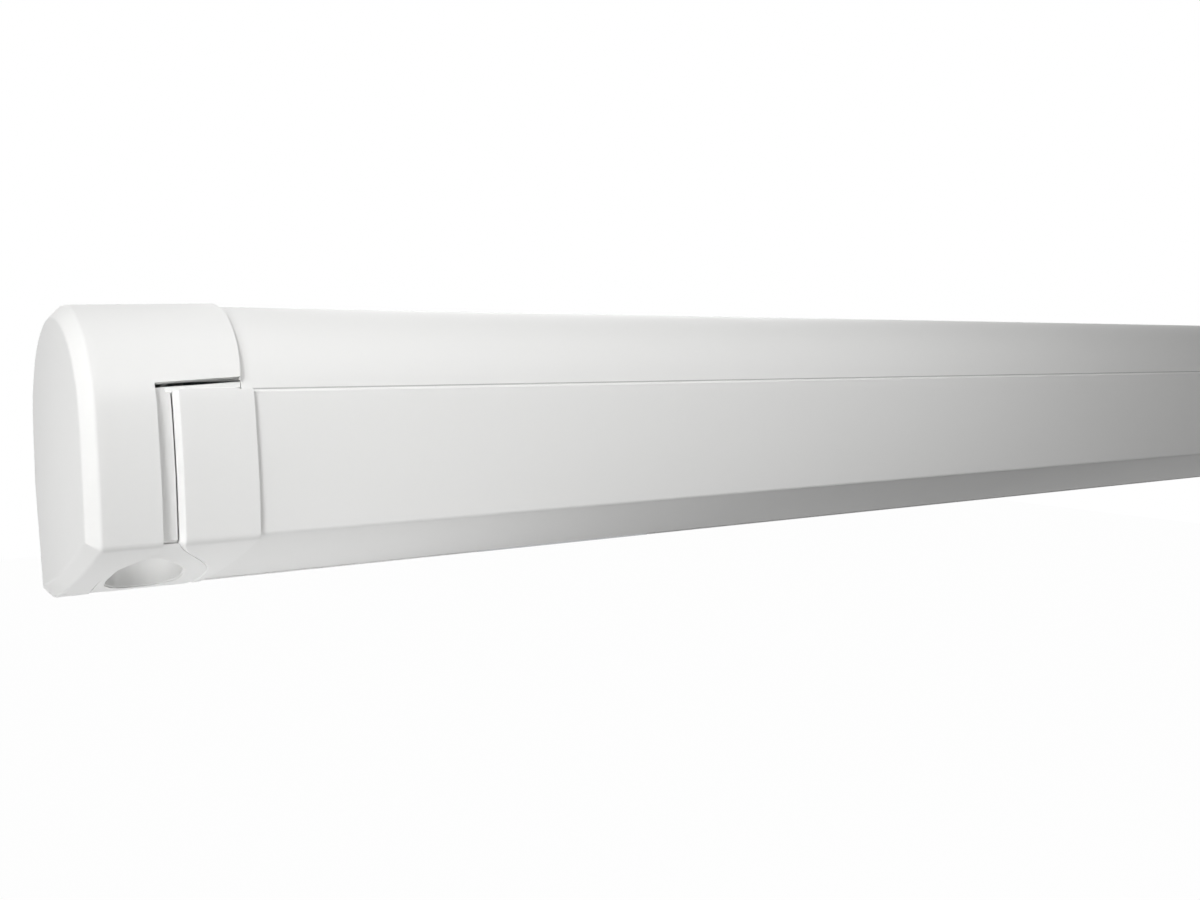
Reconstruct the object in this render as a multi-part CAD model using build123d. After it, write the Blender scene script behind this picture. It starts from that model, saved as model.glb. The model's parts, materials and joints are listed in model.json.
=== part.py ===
from build123d import *
import os
from math import cos, pi, radians, sin, sqrt

os.makedirs("parts", exist_ok=True)

# Roll-out awning in its closed case, as it hangs on the side wall of a camper.
# X runs along the awning, Y points into the wall (the wall is the plane Y = 0), Z is up.
# Z = 0 lies a little above the crease between the front face and the sloping underside.
# The origin is on the back of the middle wall bracket, half way along.

# Driving sizes of the whole awning
awning_length = 1900.0
back_gap = 3.2
front_arch_radius = 48.6
back_arch_radius = 50.4
case_top = 91.0
front_join_height = 50.0
crease_reach = 105.5
crease_drop = 3.0
back_break_height = 14.3
heel_reach = 14.0
heel_drop = 35.5
bottom_bulge = 2.0
pitch_degrees = 8.0
overrun = 400.0

half_length = awning_length / 2
arch_reach = back_gap + back_arch_radius

# Walls and clearances that several pieces share
cap_wall = 2.2
cap_clearance = 0.3
shell_wall = 1.8
housing_wall = 2.5
shell_inset = cap_wall + cap_clearance
shell_inner_inset = shell_inset + shell_wall
body_clearance = 0.3
fixed_fit = 0.02
running_fit = 0.05
plug_fit = 0.1


# Section helpers: a section is drawn with its first axis along Y and its second along Z
def case_section(inset=0.0):
    """The closed outline of the whole case, drawn in by the inset all round."""
    front_centre_height = case_top - front_arch_radius
    back_centre_height = case_top - back_arch_radius
    join_rise = front_join_height - front_centre_height
    join_out = sqrt(front_arch_radius**2 - join_rise**2)
    join = Vector(-arch_reach - join_out, front_join_height)
    crease = Vector(-crease_reach, -crease_drop)
    top = Vector(-arch_reach, case_top)
    front_middle = Vector(-arch_reach, front_centre_height) + Vector(-1, 1).normalized() * front_arch_radius
    back_middle = Vector(-arch_reach, back_centre_height) + Vector(1, 1).normalized() * back_arch_radius
    back_top = Vector(-back_gap, back_centre_height)
    back_break = Vector(-back_gap, back_break_height)
    heel = Vector(-heel_reach, -heel_drop)
    chord = crease - heel
    outward = Vector(chord.Y, -chord.X).normalized()
    if outward.Y > 0:
        outward = -outward
    bottom_middle = (crease + heel) * 0.5 + outward * bottom_bulge
    lean = Vector(join_rise, join_out).normalized()
    edges = [
        TangentArc(join, crease, tangent=-lean),
        ThreePointArc(join, front_middle, top),
        ThreePointArc(top, back_middle, back_top),
        Line(back_top, back_break),
        Line(back_break, heel),
        ThreePointArc(heel, bottom_middle, crease),
    ]
    outline = make_face(Wire(edges))
    if inset:
        outline = offset(outline, amount=-inset, kind=Kind.INTERSECTION)
    return outline


def slab(low_y, high_y, low_z, high_z):
    """A rectangle of the section between two depths and two heights."""
    middle = Pos((low_y + high_y) / 2, (low_z + high_z) / 2)
    return middle * Rectangle(high_y - low_y, high_z - low_z)


def along(section, low_x, high_x):
    """A section carried along the awning from one place to another."""
    return extrude(Plane.YZ.offset(low_x) * section, amount=high_x - low_x)


def block(low, high):
    """A box between two corners."""
    size = [b - a for a, b in zip(low, high)]
    return Pos(*[(a + b) / 2 for a, b in zip(low, high)]) * Box(*size)


def mirrored(shape):
    """The same piece for the other end of the awning."""
    return mirror(shape, about=Plane.YZ)


def save(shape, name):
    """Write one sub-part, or a group of alike fasteners, under its own name."""
    if isinstance(shape, list):
        shape = Compound(children=shape)
    export_step(shape, f"parts/{name}.step")


def save_pair(shape, name):
    """Write a left piece and its mirror image on the right."""
    save(shape, f"left_{name}")
    save(mirrored(shape), f"right_{name}")


# Case shell: one extrusion over the top and down the back
shell_end_gap = 36.0
shell_front_gap = 0.3
shell_lip_reach = 20.5
rib_depth = 2.2
rib_height = 3.0
rib_low_height = 40.0
rib_end_gap = 2.0


def shell_front_edge():
    """Height of the shell's front edge, just above the caps of the lead rail."""
    return rail_cap_top + shell_front_gap


def shell_section():
    ring = case_section(shell_inset) - case_section(shell_inner_inset)
    front_part = slab(-overrun, -arch_reach, shell_front_edge(), overrun)
    top_part = slab(-arch_reach, 0, back_break_height, overrun)
    back_part = slab(-shell_lip_reach, 0, -overrun, back_break_height)
    return ring & (front_part + top_part + back_part)


def cassette_shell():
    shell_end = half_length - shell_end_gap
    shell = along(shell_section(), -shell_end, shell_end)
    back_face = back_gap + shell_inset
    rib_high_height = rib_low_height + rib_height
    rib = slab(-back_face - shell_wall / 2, -back_face + rib_depth, rib_low_height, rib_high_height)
    rib_end = half_length - cap_hood_width - rib_end_gap
    shell = shell + along(rib, -rib_end, rib_end)
    corner = slab(-overrun, -arch_reach, 0, cap_hood_edge + band_gap)
    corner_end = half_length - band_end - band_gap
    for side in (-1, 1):
        middle = side * (corner_end + overrun / 2)
        shell = shell - along(corner, middle - overrun / 2, middle + overrun / 2)
    return shell


# Soft lip under the front edge of the shell, which closes on the lead rail
def front_lip_seal():
    lip_end = half_length - rail_cap_end - body_clearance
    ring = case_section(shell_inset) - case_section(shell_inner_inset)
    strip = ring & slab(-overrun, -arch_reach, rail_top + body_clearance, shell_front_edge())
    return along(strip, -lip_end, lip_end)


# Case end caps
cap_bevel = 4.8
cap_end_wall = 3.0
cap_leg_width = 27.4
cap_hood_width = 63.0
cap_hood_edge = 60.2

# Narrow band of the end housings that shows under the hood, and the open seam above it
band_end = 61.0
band_gap = 0.3
band_seam = 1.8

# Round-nosed notch that both caps leave for the crank bell
notch_radius = 21.8
notch_place = 36.2
notch_reach = 63.5
pod_gap = 1.0
notch_roof = 20.0


def notch_prism(radius, low_z, high_z, back_reach):
    """A round-nosed bar standing on the bell, open towards the wall."""
    centre_x = -half_length + notch_place
    nose = Pos(centre_x, -notch_reach) * Circle(radius)
    tail_middle = (-notch_reach - back_reach) / 2
    tail = Pos(centre_x, tail_middle) * Rectangle(2 * radius, notch_reach - back_reach)
    return extrude(Plane.XY.offset(low_z) * (nose + tail), amount=high_z - low_z)


def plain_case_cap():
    """The left cap, before the bell's notch is cut."""
    end = -half_length
    leg = along(case_section(), end, end + cap_leg_width)
    leg = chamfer(leg.faces().sort_by(Axis.X)[0].edges(), cap_bevel)
    hood_front = slab(-overrun, -arch_reach, cap_hood_edge, overrun)
    hood_back = slab(-arch_reach, 0, back_break_height, overrun)
    hood = along(case_section() & (hood_front + hood_back), end + cap_leg_width, end + cap_hood_width)
    shallow = along(case_section(cap_bevel), end + cap_end_wall, end + cap_hood_width)
    deep = along(case_section(cap_wall), end + cap_bevel, end + cap_hood_width)
    return leg + hood - shallow - deep


cap_screw_inset = 12.0
cap_screw_shares = (0.25, 0.8)
cap_screw_radius = 1.9
cap_screw_length = 4.4
cap_screw_head_radius = 3.4
cap_screw_head_height = 1.2


def cap_screw_places(side):
    """Places of the screws through the back of a cap, as X and Z."""
    places = []
    for share in cap_screw_shares:
        drop = share * (case_top - back_arch_radius - back_break_height)
        places.append((side * (half_length - cap_hood_width + cap_screw_inset), back_break_height + drop))
    return places


def screw_shape(grow):
    """A countersunk screw along +Y, its flat head at Y = 0 pointing into -Y."""
    head = Cone(
        cap_screw_head_radius + grow,
        cap_screw_radius + grow,
        cap_screw_head_height,
        align=(Align.CENTER, Align.CENTER, Align.MIN),
    )
    shank = Cylinder(cap_screw_radius + grow, cap_screw_length, align=(Align.CENTER, Align.CENTER, Align.MIN))
    return Rot(90, 0, 0) * (head + shank)


def cap_screws(grow=0.0):
    solids = []
    for side in (-1, 1):
        for x, z in cap_screw_places(side):
            solids.append(Pos(x, -back_gap, z) * screw_shape(grow))
    return solids


def cut_with(shape, tools):
    for tool in tools:
        shape = shape - tool
    return shape


# Gear housing: a tray inside the left cap, a chamber for the worm gear and a pod round the bell
tray_start = 7.0
tray_end = 33.4
tray_floor = 2.4
chamber_end = 44.5
chamber_front_reach = 77.0
chamber_low_height = 22.0
pod_back_reach = 22.0
pod_roof = 24.0
hub_length = 5.0
hub_radius = 13.0

# Roller
roller_reach = 44.0
roller_height = 51.0
roller_radius = 24.0
roller_wall = 1.5
roller_end_gap = 47.0
cloth_thickness = 0.5
cloth_roll_radius = 28.5
cloth_end_gap = 75.0
drive_shaft_radius = 8.0
idler_shaft_radius = 6.0


def chamber_section(inset):
    """The part of the section that is behind the lead rail and round the roller."""
    outline = case_section(shell_inner_inset + body_clearance + inset)
    return outline & slab(-chamber_front_reach + inset, 0, chamber_low_height + inset, overrun)


def roller_bar(radius, low_x, high_x):
    return along(Pos(-roller_reach, roller_height) * Circle(radius), low_x, high_x)


def seam_band():
    """The narrow band that runs from the tray to the shell, just under the seam of the hood."""
    end = -half_length
    ring = case_section(shell_inset) - case_section(shell_inner_inset)
    strip = ring & slab(-overrun, -arch_reach, shell_front_edge(), cap_hood_edge - band_seam)
    return along(strip, end + tray_end - tray_floor, end + band_end)


def end_housing_blank():
    """Tray and chamber for the left end, hollow, with a hub for the roller."""
    end = -half_length
    tray = along(case_section(shell_inset), end + tray_start, end + tray_end)
    chamber = along(chamber_section(0), end + tray_end - housing_wall, end + chamber_end)
    tray_hollow = along(case_section(shell_inset + housing_wall), end + tray_start, end + tray_end - tray_floor)
    chamber_hollow = along(chamber_section(housing_wall), end + tray_start, end + chamber_end - housing_wall)
    hub = roller_bar(hub_radius, end + chamber_end - hub_length, end + chamber_end)
    return tray + chamber + seam_band() - tray_hollow - chamber_hollow + hub


# Crank bell: an oval funnel that narrows to a round bore, on the axis of the worm shaft
bell_place = 33.5
bell_reach = 59.0
bell_drop = 21.0
worm_distance = 24.0
bell_mouth_width = 28.0
bell_mouth_length = 42.0
bell_wall = 1.6
bell_overshoot = 8.0
bell_funnel_depth = 18.0
bell_bore_radius = 12.0
bell_bore_length = 12.0
bell_socket_radius = 12.8
bell_length = 46.0
bell_rim_height = 0.8
bell_neck_wall = 2.2


def worm_axis_angle():
    """Angle that the worm shaft leans towards the wall, from the vertical."""
    rise = roller_height + bell_drop
    run = bell_reach - roller_reach
    low, high = 0.0, 90.0
    for _ in range(60):
        middle = (low + high) / 2
        distance = rise * sin(radians(middle)) - run * cos(radians(middle))
        if distance < worm_distance:
            low = middle
        else:
            high = middle
    return (low + high) / 2


worm_lean = worm_axis_angle()
worm_up = Vector(0, sin(radians(worm_lean)), cos(radians(worm_lean)))
bell_mouth = Vector(-half_length + bell_place, -bell_reach, -bell_drop)
worm_rise = roller_height + bell_drop
worm_run = bell_reach - roller_reach
worm_middle = worm_rise * cos(radians(worm_lean)) + worm_run * sin(radians(worm_lean))


def bell_plane(height):
    """A plane square to the worm shaft, a height above the bell's mouth."""
    return Plane(origin=bell_mouth + worm_up * height, x_dir=(1, 0, 0), z_dir=worm_up)


def shaft_bar(radius, low, high):
    return extrude(bell_plane(low) * Circle(radius), amount=high - low)


def bell_cone(wall):
    """The funnel from an oval below the mouth to the round bore."""
    mouth_depth = bell_funnel_depth + bell_overshoot
    spread = mouth_depth / bell_funnel_depth
    wide = bell_bore_radius + (bell_mouth_width / 2 - bell_bore_radius) * spread + wall
    long = bell_bore_radius + (bell_mouth_length / 2 - bell_bore_radius) * spread + wall
    mouth = bell_plane(-bell_overshoot) * Ellipse(wide, long)
    neck = bell_plane(bell_funnel_depth) * Ellipse(bell_bore_radius + wall, bell_bore_radius + wall)
    return loft([mouth, neck])


def bell_outside():
    return bell_cone(bell_wall) + shaft_bar(bell_socket_radius + bell_neck_wall, bell_funnel_depth, bell_length)


def bell_inside():
    bore_end = bell_funnel_depth + bell_bore_length
    bore = shaft_bar(bell_bore_radius, bell_funnel_depth, bore_end)
    socket = shaft_bar(bell_socket_radius, bore_end, bell_length)
    return bell_cone(0) + bore + socket


def crank_bell():
    near = -half_length + bell_place - bell_mouth_width
    far = -half_length + bell_place + bell_mouth_width
    skin = along(case_section(shell_inset - bell_rim_height), near, far)
    return (bell_outside() & skin) - bell_inside()


# Worm gear
worm_root_radius = 4.6
worm_tip_radius = 6.4
worm_half_length = 11.0
worm_pitch = 6.28
worm_starts = 2
worm_shoulder = 2.6
worm_shaft_radius = 4.0
wheel_tip_radius = 17.2
wheel_root_radius = 14.4
wheel_width = 10.0
wheel_teeth = 16
thrust_radius = 7.5
thrust_length = 6.0
thrust_depth = 3.0
eye_outer_radius = 9.0
eye_inner_radius = 5.0
eye_thickness = 6.0
eye_height = 40.0


def worm():
    """The worm by itself: a core a little longer than its two starts of thread."""
    length = 2 * worm_half_length
    path = Helix(worm_starts * worm_pitch, length, worm_root_radius)
    depth = worm_tip_radius - worm_root_radius
    tooth = Polygon(
        (-depth / 2, -worm_pitch / 4),
        (depth, -worm_pitch / 8),
        (depth, worm_pitch / 8),
        (-depth / 2, worm_pitch / 4),
        align=None,
    )
    thread = sweep(Plane(origin=path @ 0, x_dir=(1, 0, 0), z_dir=path % 0) * tooth, path=path, is_frenet=True)
    core = extrude(Plane.XY.offset(-worm_shoulder) * Circle(worm_root_radius), amount=length + 2 * worm_shoulder)
    for start in range(worm_starts):
        core = core + Rot(0, 0, start * 360 / worm_starts) * thread
    return core


def worm_shaft():
    top = worm_middle + worm_half_length + thrust_length
    shaft = shaft_bar(worm_shaft_radius, eye_height + eye_inner_radius, top)
    eye_centre = bell_mouth + worm_up * eye_height
    eye_plane = Plane(origin=eye_centre, x_dir=worm_up, z_dir=(1, 0, 0))
    ring = eye_plane * (Circle(eye_outer_radius) - Circle(eye_inner_radius))
    shaft = shaft - extrude(eye_plane * Circle(eye_inner_radius), amount=eye_thickness, both=True)
    eye = extrude(ring, amount=eye_thickness / 2, both=True)
    return bell_plane(worm_middle - worm_half_length).location * worm() + shaft + eye


def worm_wheel():
    middle = -half_length + bell_place
    wheel = roller_bar(wheel_tip_radius, middle - wheel_width / 2, middle + wheel_width / 2)
    wheel = wheel - roller_bar(drive_shaft_radius + fixed_fit, middle - wheel_width, middle + wheel_width)
    depth = wheel_tip_radius - wheel_root_radius
    gap = pi * wheel_root_radius / wheel_teeth
    axis_point = Pos(middle, -roller_reach, roller_height)
    for tooth in range(wheel_teeth):
        cutter = Pos(0, 0, wheel_root_radius + depth) * Box(2 * wheel_width, gap, 2 * depth)
        wheel = wheel - axis_point * Rot(360 / wheel_teeth * (tooth + 0.5), 0, 0) * cutter
    return wheel


def thrust_boss():
    """The seat for the upper end of the worm shaft, inside the chamber."""
    low = worm_middle + worm_half_length + thrust_length - thrust_depth
    return shaft_bar(thrust_radius, low, low + thrust_length)


def gear_housing():
    end = -half_length
    housing = end_housing_blank()
    pod = notch_prism(notch_radius - pod_gap, -overrun, pod_roof, pod_back_reach)
    hollow_radius = notch_radius - pod_gap - housing_wall
    pod_hollow = notch_prism(hollow_radius, -overrun, pod_roof - housing_wall, pod_back_reach + housing_wall)
    pod_room = end + notch_place + notch_radius
    outer = along(case_section(shell_inset), end + tray_end - housing_wall, pod_room)
    inner = along(case_section(shell_inset + housing_wall), end + tray_start, pod_room)
    housing = housing + (pod & outer)
    housing = housing - (pod_hollow & inner)
    shaft_way = shaft_bar(bell_socket_radius + bell_neck_wall + pod_gap, bell_length / 2, bell_length + pod_gap)
    housing = housing - shaft_way
    shaft_way = shaft_bar(worm_tip_radius + pod_gap, bell_length / 2, worm_middle + worm_half_length + pod_gap)
    housing = housing - shaft_way
    chamber = along(chamber_section(0), end + tray_start, end + chamber_end)
    housing = housing + (thrust_boss() & chamber)
    seat_end = worm_middle + worm_half_length + thrust_length + running_fit
    housing = housing - shaft_bar(worm_shaft_radius + running_fit, bell_length, seat_end)
    housing = housing - bell_outside()
    return housing - roller_bar(drive_shaft_radius + running_fit, end, end + notch_place + notch_radius)


# Right end: the idler bearing
bush_wall = 3.0
bush_flange = 1.5


def idler_housing():
    housing = end_housing_blank()
    bush_seat = idler_shaft_radius + bush_wall + fixed_fit
    return mirrored(housing - roller_bar(bush_seat, -half_length, -half_length + cap_hood_width))


def idler_bush():
    end = half_length - chamber_end
    bush = roller_bar(idler_shaft_radius + bush_wall, end, end + hub_length)
    flange = roller_bar(idler_shaft_radius + bush_wall + bush_flange, end - bush_flange, end)
    return bush + flange - roller_bar(idler_shaft_radius + running_fit, end - bush_wall, end + 2 * hub_length)


# Roller tube, its plugs and the wound cloth
plug_length = 40.0
collar_thickness = 1.2
drive_shaft_end = 25.0
idler_shaft_end = 34.0


def roller_tube():
    end = half_length - roller_end_gap
    hollow = roller_bar(roller_radius - roller_wall, -end - overrun, end + overrun)
    return roller_bar(roller_radius, -end, end) - hollow


def roller_plug(shaft_radius, shaft_end, collar_gap):
    """Plug, collar and axle for the left end of the roller."""
    end = -half_length + roller_end_gap
    plug = roller_bar(roller_radius - roller_wall - plug_fit, end, end + plug_length)
    collar = roller_bar(roller_radius, end - collar_gap, end)
    return plug + collar + roller_bar(shaft_radius, -half_length + shaft_end, end)


def cloth_roll():
    end = half_length - cloth_end_gap
    core = roller_bar(roller_radius + fixed_fit, -end - overrun, end + overrun)
    return roller_bar(cloth_roll_radius, -end, end) - core


# Lead rail: the front face and underside of the closed awning, which travels out with the arms
rail_inset = 1.5
rail_wall = 2.0
rail_top = 55.3
rail_shelf = 2.0
rail_shelf_reach = 84.0
rail_back_reach = 23.5
rail_lip_height = 10.0
rail_end_gap = 36.4
keder_reach = 88.5
keder_height = 46.4
keder_radius = 2.7
keder_groove_radius = 2.9
keder_groove_wall = 1.6
keder_slot_height = 4.0
keder_slot_tilt = -12.0
rail_cap_start = 34.2
rail_cap_end = 65.2
rail_cap_bevel = 2.0
rail_cap_top = 56.2
rail_cap_face_reach = 86.5


def keder_spot():
    return Pos(-keder_reach, keder_height)


def rail_section():
    ring = case_section(rail_inset) - case_section(rail_inset + rail_wall)
    skin = ring & slab(-overrun, -rail_back_reach, -overrun, rail_top)
    shelf = case_section(rail_inset) & slab(-overrun, -rail_shelf_reach, rail_top - rail_shelf, rail_top)
    groove_outer = keder_groove_radius + keder_groove_wall
    half_web = keder_groove_wall / 2
    web = slab(-keder_reach - half_web, -keder_reach + half_web, keder_height, rail_top)
    groove = keder_spot() * Circle(groove_outer) + web
    slot = Pos(groove_outer, 0) * Rectangle(2 * groove_outer, keder_slot_height)
    slot = keder_spot() * Rot(0, 0, keder_slot_tilt) * slot
    groove = groove - keder_spot() * Circle(keder_groove_radius) - slot
    foot = slab(-rail_back_reach - rail_wall, -rail_back_reach, -overrun, 0)
    foot = foot & case_section(rail_inset + rail_wall / 2)
    foot = foot & slab(-overrun, 0, -overrun, -heel_drop + rail_lip_height)
    return skin + shelf + groove + foot


def bell_notch():
    """The notch in the lead rail, open at the back so that the rail can leave."""
    return notch_prism(notch_radius, -overrun, notch_roof, -overrun)


def lead_rail():
    end = half_length - rail_end_gap
    rail = along(rail_section(), -end, end)
    return rail - bell_notch()


def rail_cap(with_notch):
    """The left end cap of the lead rail."""
    low = -half_length + rail_cap_start
    high = -half_length + rail_cap_end
    front = case_section() & slab(-overrun, -rail_back_reach, -overrun, rail_cap_top)
    shell = along(front, low, high)
    low_face = shell.faces().sort_by(Axis.X)[0]
    curved = [edge for edge in low_face.edges() if edge.geom_type != GeomType.LINE]
    shell = chamfer(curved, rail_cap_bevel)
    room = case_section(rail_inset) & slab(-overrun, 0, -overrun, rail_top)
    behind = slab(-rail_cap_face_reach, 0, -overrun, overrun)
    shell = shell - along(room, -half_length + rail_end_gap, high)
    shell = shell - along(behind & case_section(rail_inset), low, high)
    shell = shell - along(slab(-rail_shelf_reach, 0, 0, overrun), low, high)
    if with_notch:
        shell = shell - bell_notch()
    return shell


# Screws that hold the rail caps, seen when the rail is out
rail_screw_radius = 2.0
rail_screw_length = 16.0
rail_screw_head_radius = 3.6
rail_screw_head_height = 1.6
rail_screw_reach = 93.5
rail_screw_height_shares = (0.06, 0.62)


def rail_screw_spots():
    return [Pos(-rail_screw_reach, share * rail_top) for share in rail_screw_height_shares]


def rail_screws(grow=0.0):
    solids = []
    wall_start = -half_length + rail_cap_start
    for spot in rail_screw_spots():
        head_circle = spot * Circle(rail_screw_head_radius + grow)
        head = along(head_circle, wall_start - grow, wall_start + rail_screw_head_height)
        shank = along(spot * Circle(rail_screw_radius + grow), wall_start, wall_start + rail_screw_length)
        left = head + shank
        solids += [left, mirrored(left)]
    return solids


# Keder cord in the rail's groove, and the hem of the cloth behind it
hem_length = 13.0
hem_thickness = 1.2
hem_start = 4.9


def cloth_slope():
    """Slope in degrees, and length, of the cloth between the rail and the roller's underside."""
    away = keder_reach - roller_reach
    rise = roller_height - keder_height
    passing_radius = cloth_roll_radius + body_clearance + cloth_thickness / 2
    free_length = sqrt(away**2 + rise**2 - passing_radius**2)
    leaving = Vector(away, rise).get_angle(Vector(1, 0))
    touching = Vector(free_length, passing_radius).get_angle(Vector(1, 0))
    return leaving - touching, free_length


def cloth_strip(start, length, thickness):
    """A strip of the cloth, a distance behind the keder cord."""
    slope, _ = cloth_slope()
    strip = Pos(start + length / 2, 0) * Rectangle(length, thickness)
    end = half_length - cloth_end_gap
    return along(keder_spot() * Rot(0, 0, slope) * strip, -end, end)


def keder_cord():
    end = half_length - cloth_end_gap
    return along(keder_spot() * Circle(keder_radius), -end, end)


def cloth_hem():
    return cloth_strip(hem_start, hem_length, hem_thickness)


def cloth_panel():
    _, free_length = cloth_slope()
    start = hem_start + hem_length
    return cloth_strip(start, free_length - start - body_clearance, cloth_thickness)


# Folding arms, drawn in a plane square to their hinges: first axis along X, second towards the wall
shoulder_inset = 100.0
elbow_middle_gap = 110.0
shoulder_reach = 26.0
shoulder_height = 5.0
arm_spacing = 23.0
upper_width = 20.0
upper_height = 24.0
fore_width = 20.0
fore_height = 22.0
arm_corner = 4.0
arm_wall = 2.0
knuckle_radius = 13.0
knuckle_gap = 18.0
knuckle_flange = 2.0
eye_plug_length = 45.0
tongue_half_height = 6.9
ear_gap = 0.3
pin_radius = 4.0
pin_head_radius = 6.0
pin_head_height = 1.4
lug_thickness = 4.0
lug_gap = 0.3
bracket_half_width = 15.0
web_gap = 1.7
web_thickness = 5.0
shoulder_pad_height = 22.0

shoulder_x = -half_length + shoulder_inset
elbow_x = -elbow_middle_gap
arm_reach = elbow_x - shoulder_x
hinge_axis = Vector(0, -sin(radians(pitch_degrees)), cos(radians(pitch_degrees)))
arm_plane = Plane(origin=(0, -shoulder_reach, shoulder_height), x_dir=(1, 0, 0), z_dir=hinge_axis)
elbow_y = -arm_spacing / 2
wrist_y = -arm_spacing


def placed(shape):
    """Turn a piece drawn in the arms' own plane into its place on the awning."""
    return arm_plane.location * shape


def bar(low_x, high_x, middle_y, width, height, corner):
    profile = Pos(middle_y, 0) * RectangleRounded(width, height, corner)
    return extrude(Plane.YZ.offset(low_x) * profile, amount=high_x - low_x)


def disc(x, y, radius, low_z, high_z):
    return extrude(Plane.XY.offset(low_z) * Pos(x, y) * Circle(radius), amount=high_z - low_z)


def arm_tube(middle_y, width, height):
    gap = knuckle_gap + knuckle_flange
    outer = bar(shoulder_x + gap, elbow_x - gap, middle_y, width, height, arm_corner)
    inner = bar(
        shoulder_x, elbow_x, middle_y, width - 2 * arm_wall, height - 2 * arm_wall, arm_corner - arm_wall
    )
    return outer - inner


def arm_plug(at_x, way, middle_y, width, height):
    """Flange and plug at one end of an arm; way is +1 where the tube runs towards +X."""
    start = at_x + way * knuckle_gap
    face = start + way * knuckle_flange
    tip = face + way * eye_plug_length
    flange = bar(min(start, face), max(start, face), middle_y, width, height, arm_corner)
    slim = 2 * arm_wall + 2 * plug_fit
    plug = bar(min(face, tip), max(face, tip), middle_y, width - slim, height - slim, arm_corner - arm_wall)
    return flange + plug


def arm_eye(middle_y, width, height):
    """The full-height eye at the shoulder or wrist end of an arm."""
    half = height / 2
    eye = disc(shoulder_x, middle_y, width / 2, -half, half)
    neck = block(
        (shoulder_x, middle_y - width / 2, -half),
        (shoulder_x + knuckle_gap, middle_y + width / 2, half),
    )
    eye = eye + neck + arm_plug(shoulder_x, 1, middle_y, width, height)
    return eye - disc(shoulder_x, middle_y, pin_radius + running_fit, -height, height)


def knuckle_plate(middle_y, width, low_z, high_z):
    """A plate from an arm's end to the disc round the elbow pin."""
    start = elbow_x - knuckle_gap - knuckle_flange
    end_bar = Pos(start + knuckle_flange / 2, middle_y) * Rectangle(knuckle_flange, width)
    outline = make_hull((end_bar + Pos(elbow_x, elbow_y) * Circle(knuckle_radius)).edges())
    return extrude(Plane.XY.offset(low_z) * outline, amount=high_z - low_z)


def elbow_fork():
    low_ear = tongue_half_height + ear_gap
    half = upper_height / 2
    fork = arm_plug(elbow_x, -1, 0, upper_width, upper_height)
    for low, high in ((low_ear, half), (-half, -low_ear)):
        fork = fork + knuckle_plate(0, upper_width - 2 * arm_corner, low, high)
    return fork - disc(elbow_x, elbow_y, pin_radius + fixed_fit, -upper_height, upper_height)


def elbow_tongue():
    tongue = arm_plug(elbow_x, -1, wrist_y, fore_width, fore_height)
    tongue = tongue + knuckle_plate(wrist_y, fore_width, -tongue_half_height, tongue_half_height)
    return tongue - disc(elbow_x, elbow_y, pin_radius + running_fit, -upper_height, upper_height)


def pin(x, y, half_length_z):
    """A pin with its head on the underside."""
    shaft = disc(x, y, pin_radius, -half_length_z, half_length_z)
    return shaft + disc(x, y, pin_head_radius, -half_length_z - pin_head_height, -half_length_z)


def lug(y, radius, web_near, web_far, low_z, high_z):
    """An ear of a bracket, from the pin to the bracket's web."""
    root = Rectangle(2 * bracket_half_width, abs(web_far - web_near))
    root = Pos(shoulder_x, (web_near + web_far) / 2) * root
    outline = make_hull((root + Pos(shoulder_x, y) * Circle(radius)).edges())
    return extrude(Plane.XY.offset(low_z) * outline, amount=high_z - low_z)


def shoulder_bracket():
    near = upper_width / 2 + web_gap
    far = near + web_thickness
    inner = upper_height / 2 + lug_gap
    outer = inner + lug_thickness
    low_x = shoulder_x - bracket_half_width
    high_x = shoulder_x + bracket_half_width
    body = block((low_x, near, -outer), (high_x, near + shoulder_reach, shoulder_pad_height))
    for low, high in ((inner, outer), (-outer, -inner)):
        body = body + lug(0, upper_width / 2, near, far, low, high)
    body = body - disc(shoulder_x, 0, pin_radius + fixed_fit, -2 * outer, 2 * outer)
    room = along(case_section(shell_inner_inset), low_x - overrun, high_x + overrun)
    return placed(body) & room


def wrist_bracket():
    near = wrist_y - fore_width / 2 - web_gap
    far = near - web_thickness
    inner = fore_height / 2 + lug_gap
    outer = inner + lug_thickness
    low_x = shoulder_x - bracket_half_width
    high_x = shoulder_x + bracket_half_width
    body = block((low_x, far, -outer), (high_x, near, outer))
    for low, high in ((inner, outer), (-outer, -inner)):
        body = body + lug(wrist_y, fore_width / 2, near, far, low, high)
        body = body + block((low_x, -crease_reach, low), (high_x, near, high))
    body = body - disc(shoulder_x, wrist_y, pin_radius + fixed_fit, -2 * outer, 2 * outer)
    room = along(case_section(rail_inset + rail_wall), low_x - overrun, high_x + overrun)
    return placed(body) & room


# Tension spring and its cable inside each forearm
spring_radius = 6.5
spring_length_share = 0.55
spring_start = 90.0
cable_radius = 1.5


def arm_spring():
    low = shoulder_x + spring_start
    high = low + spring_length_share * arm_reach
    spring = extrude(Plane.YZ.offset(low) * Pos(wrist_y, 0) * Circle(spring_radius), amount=high - low)
    end = elbow_x - knuckle_gap - knuckle_flange - eye_plug_length - plug_fit
    cable = extrude(Plane.YZ.offset(high) * Pos(wrist_y, 0) * Circle(cable_radius), amount=end - high)
    tail_low = shoulder_x + knuckle_gap + knuckle_flange + eye_plug_length + plug_fit
    tail = extrude(Plane.YZ.offset(tail_low) * Pos(wrist_y, 0) * Circle(cable_radius), amount=low - tail_low)
    return spring + cable + tail


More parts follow.
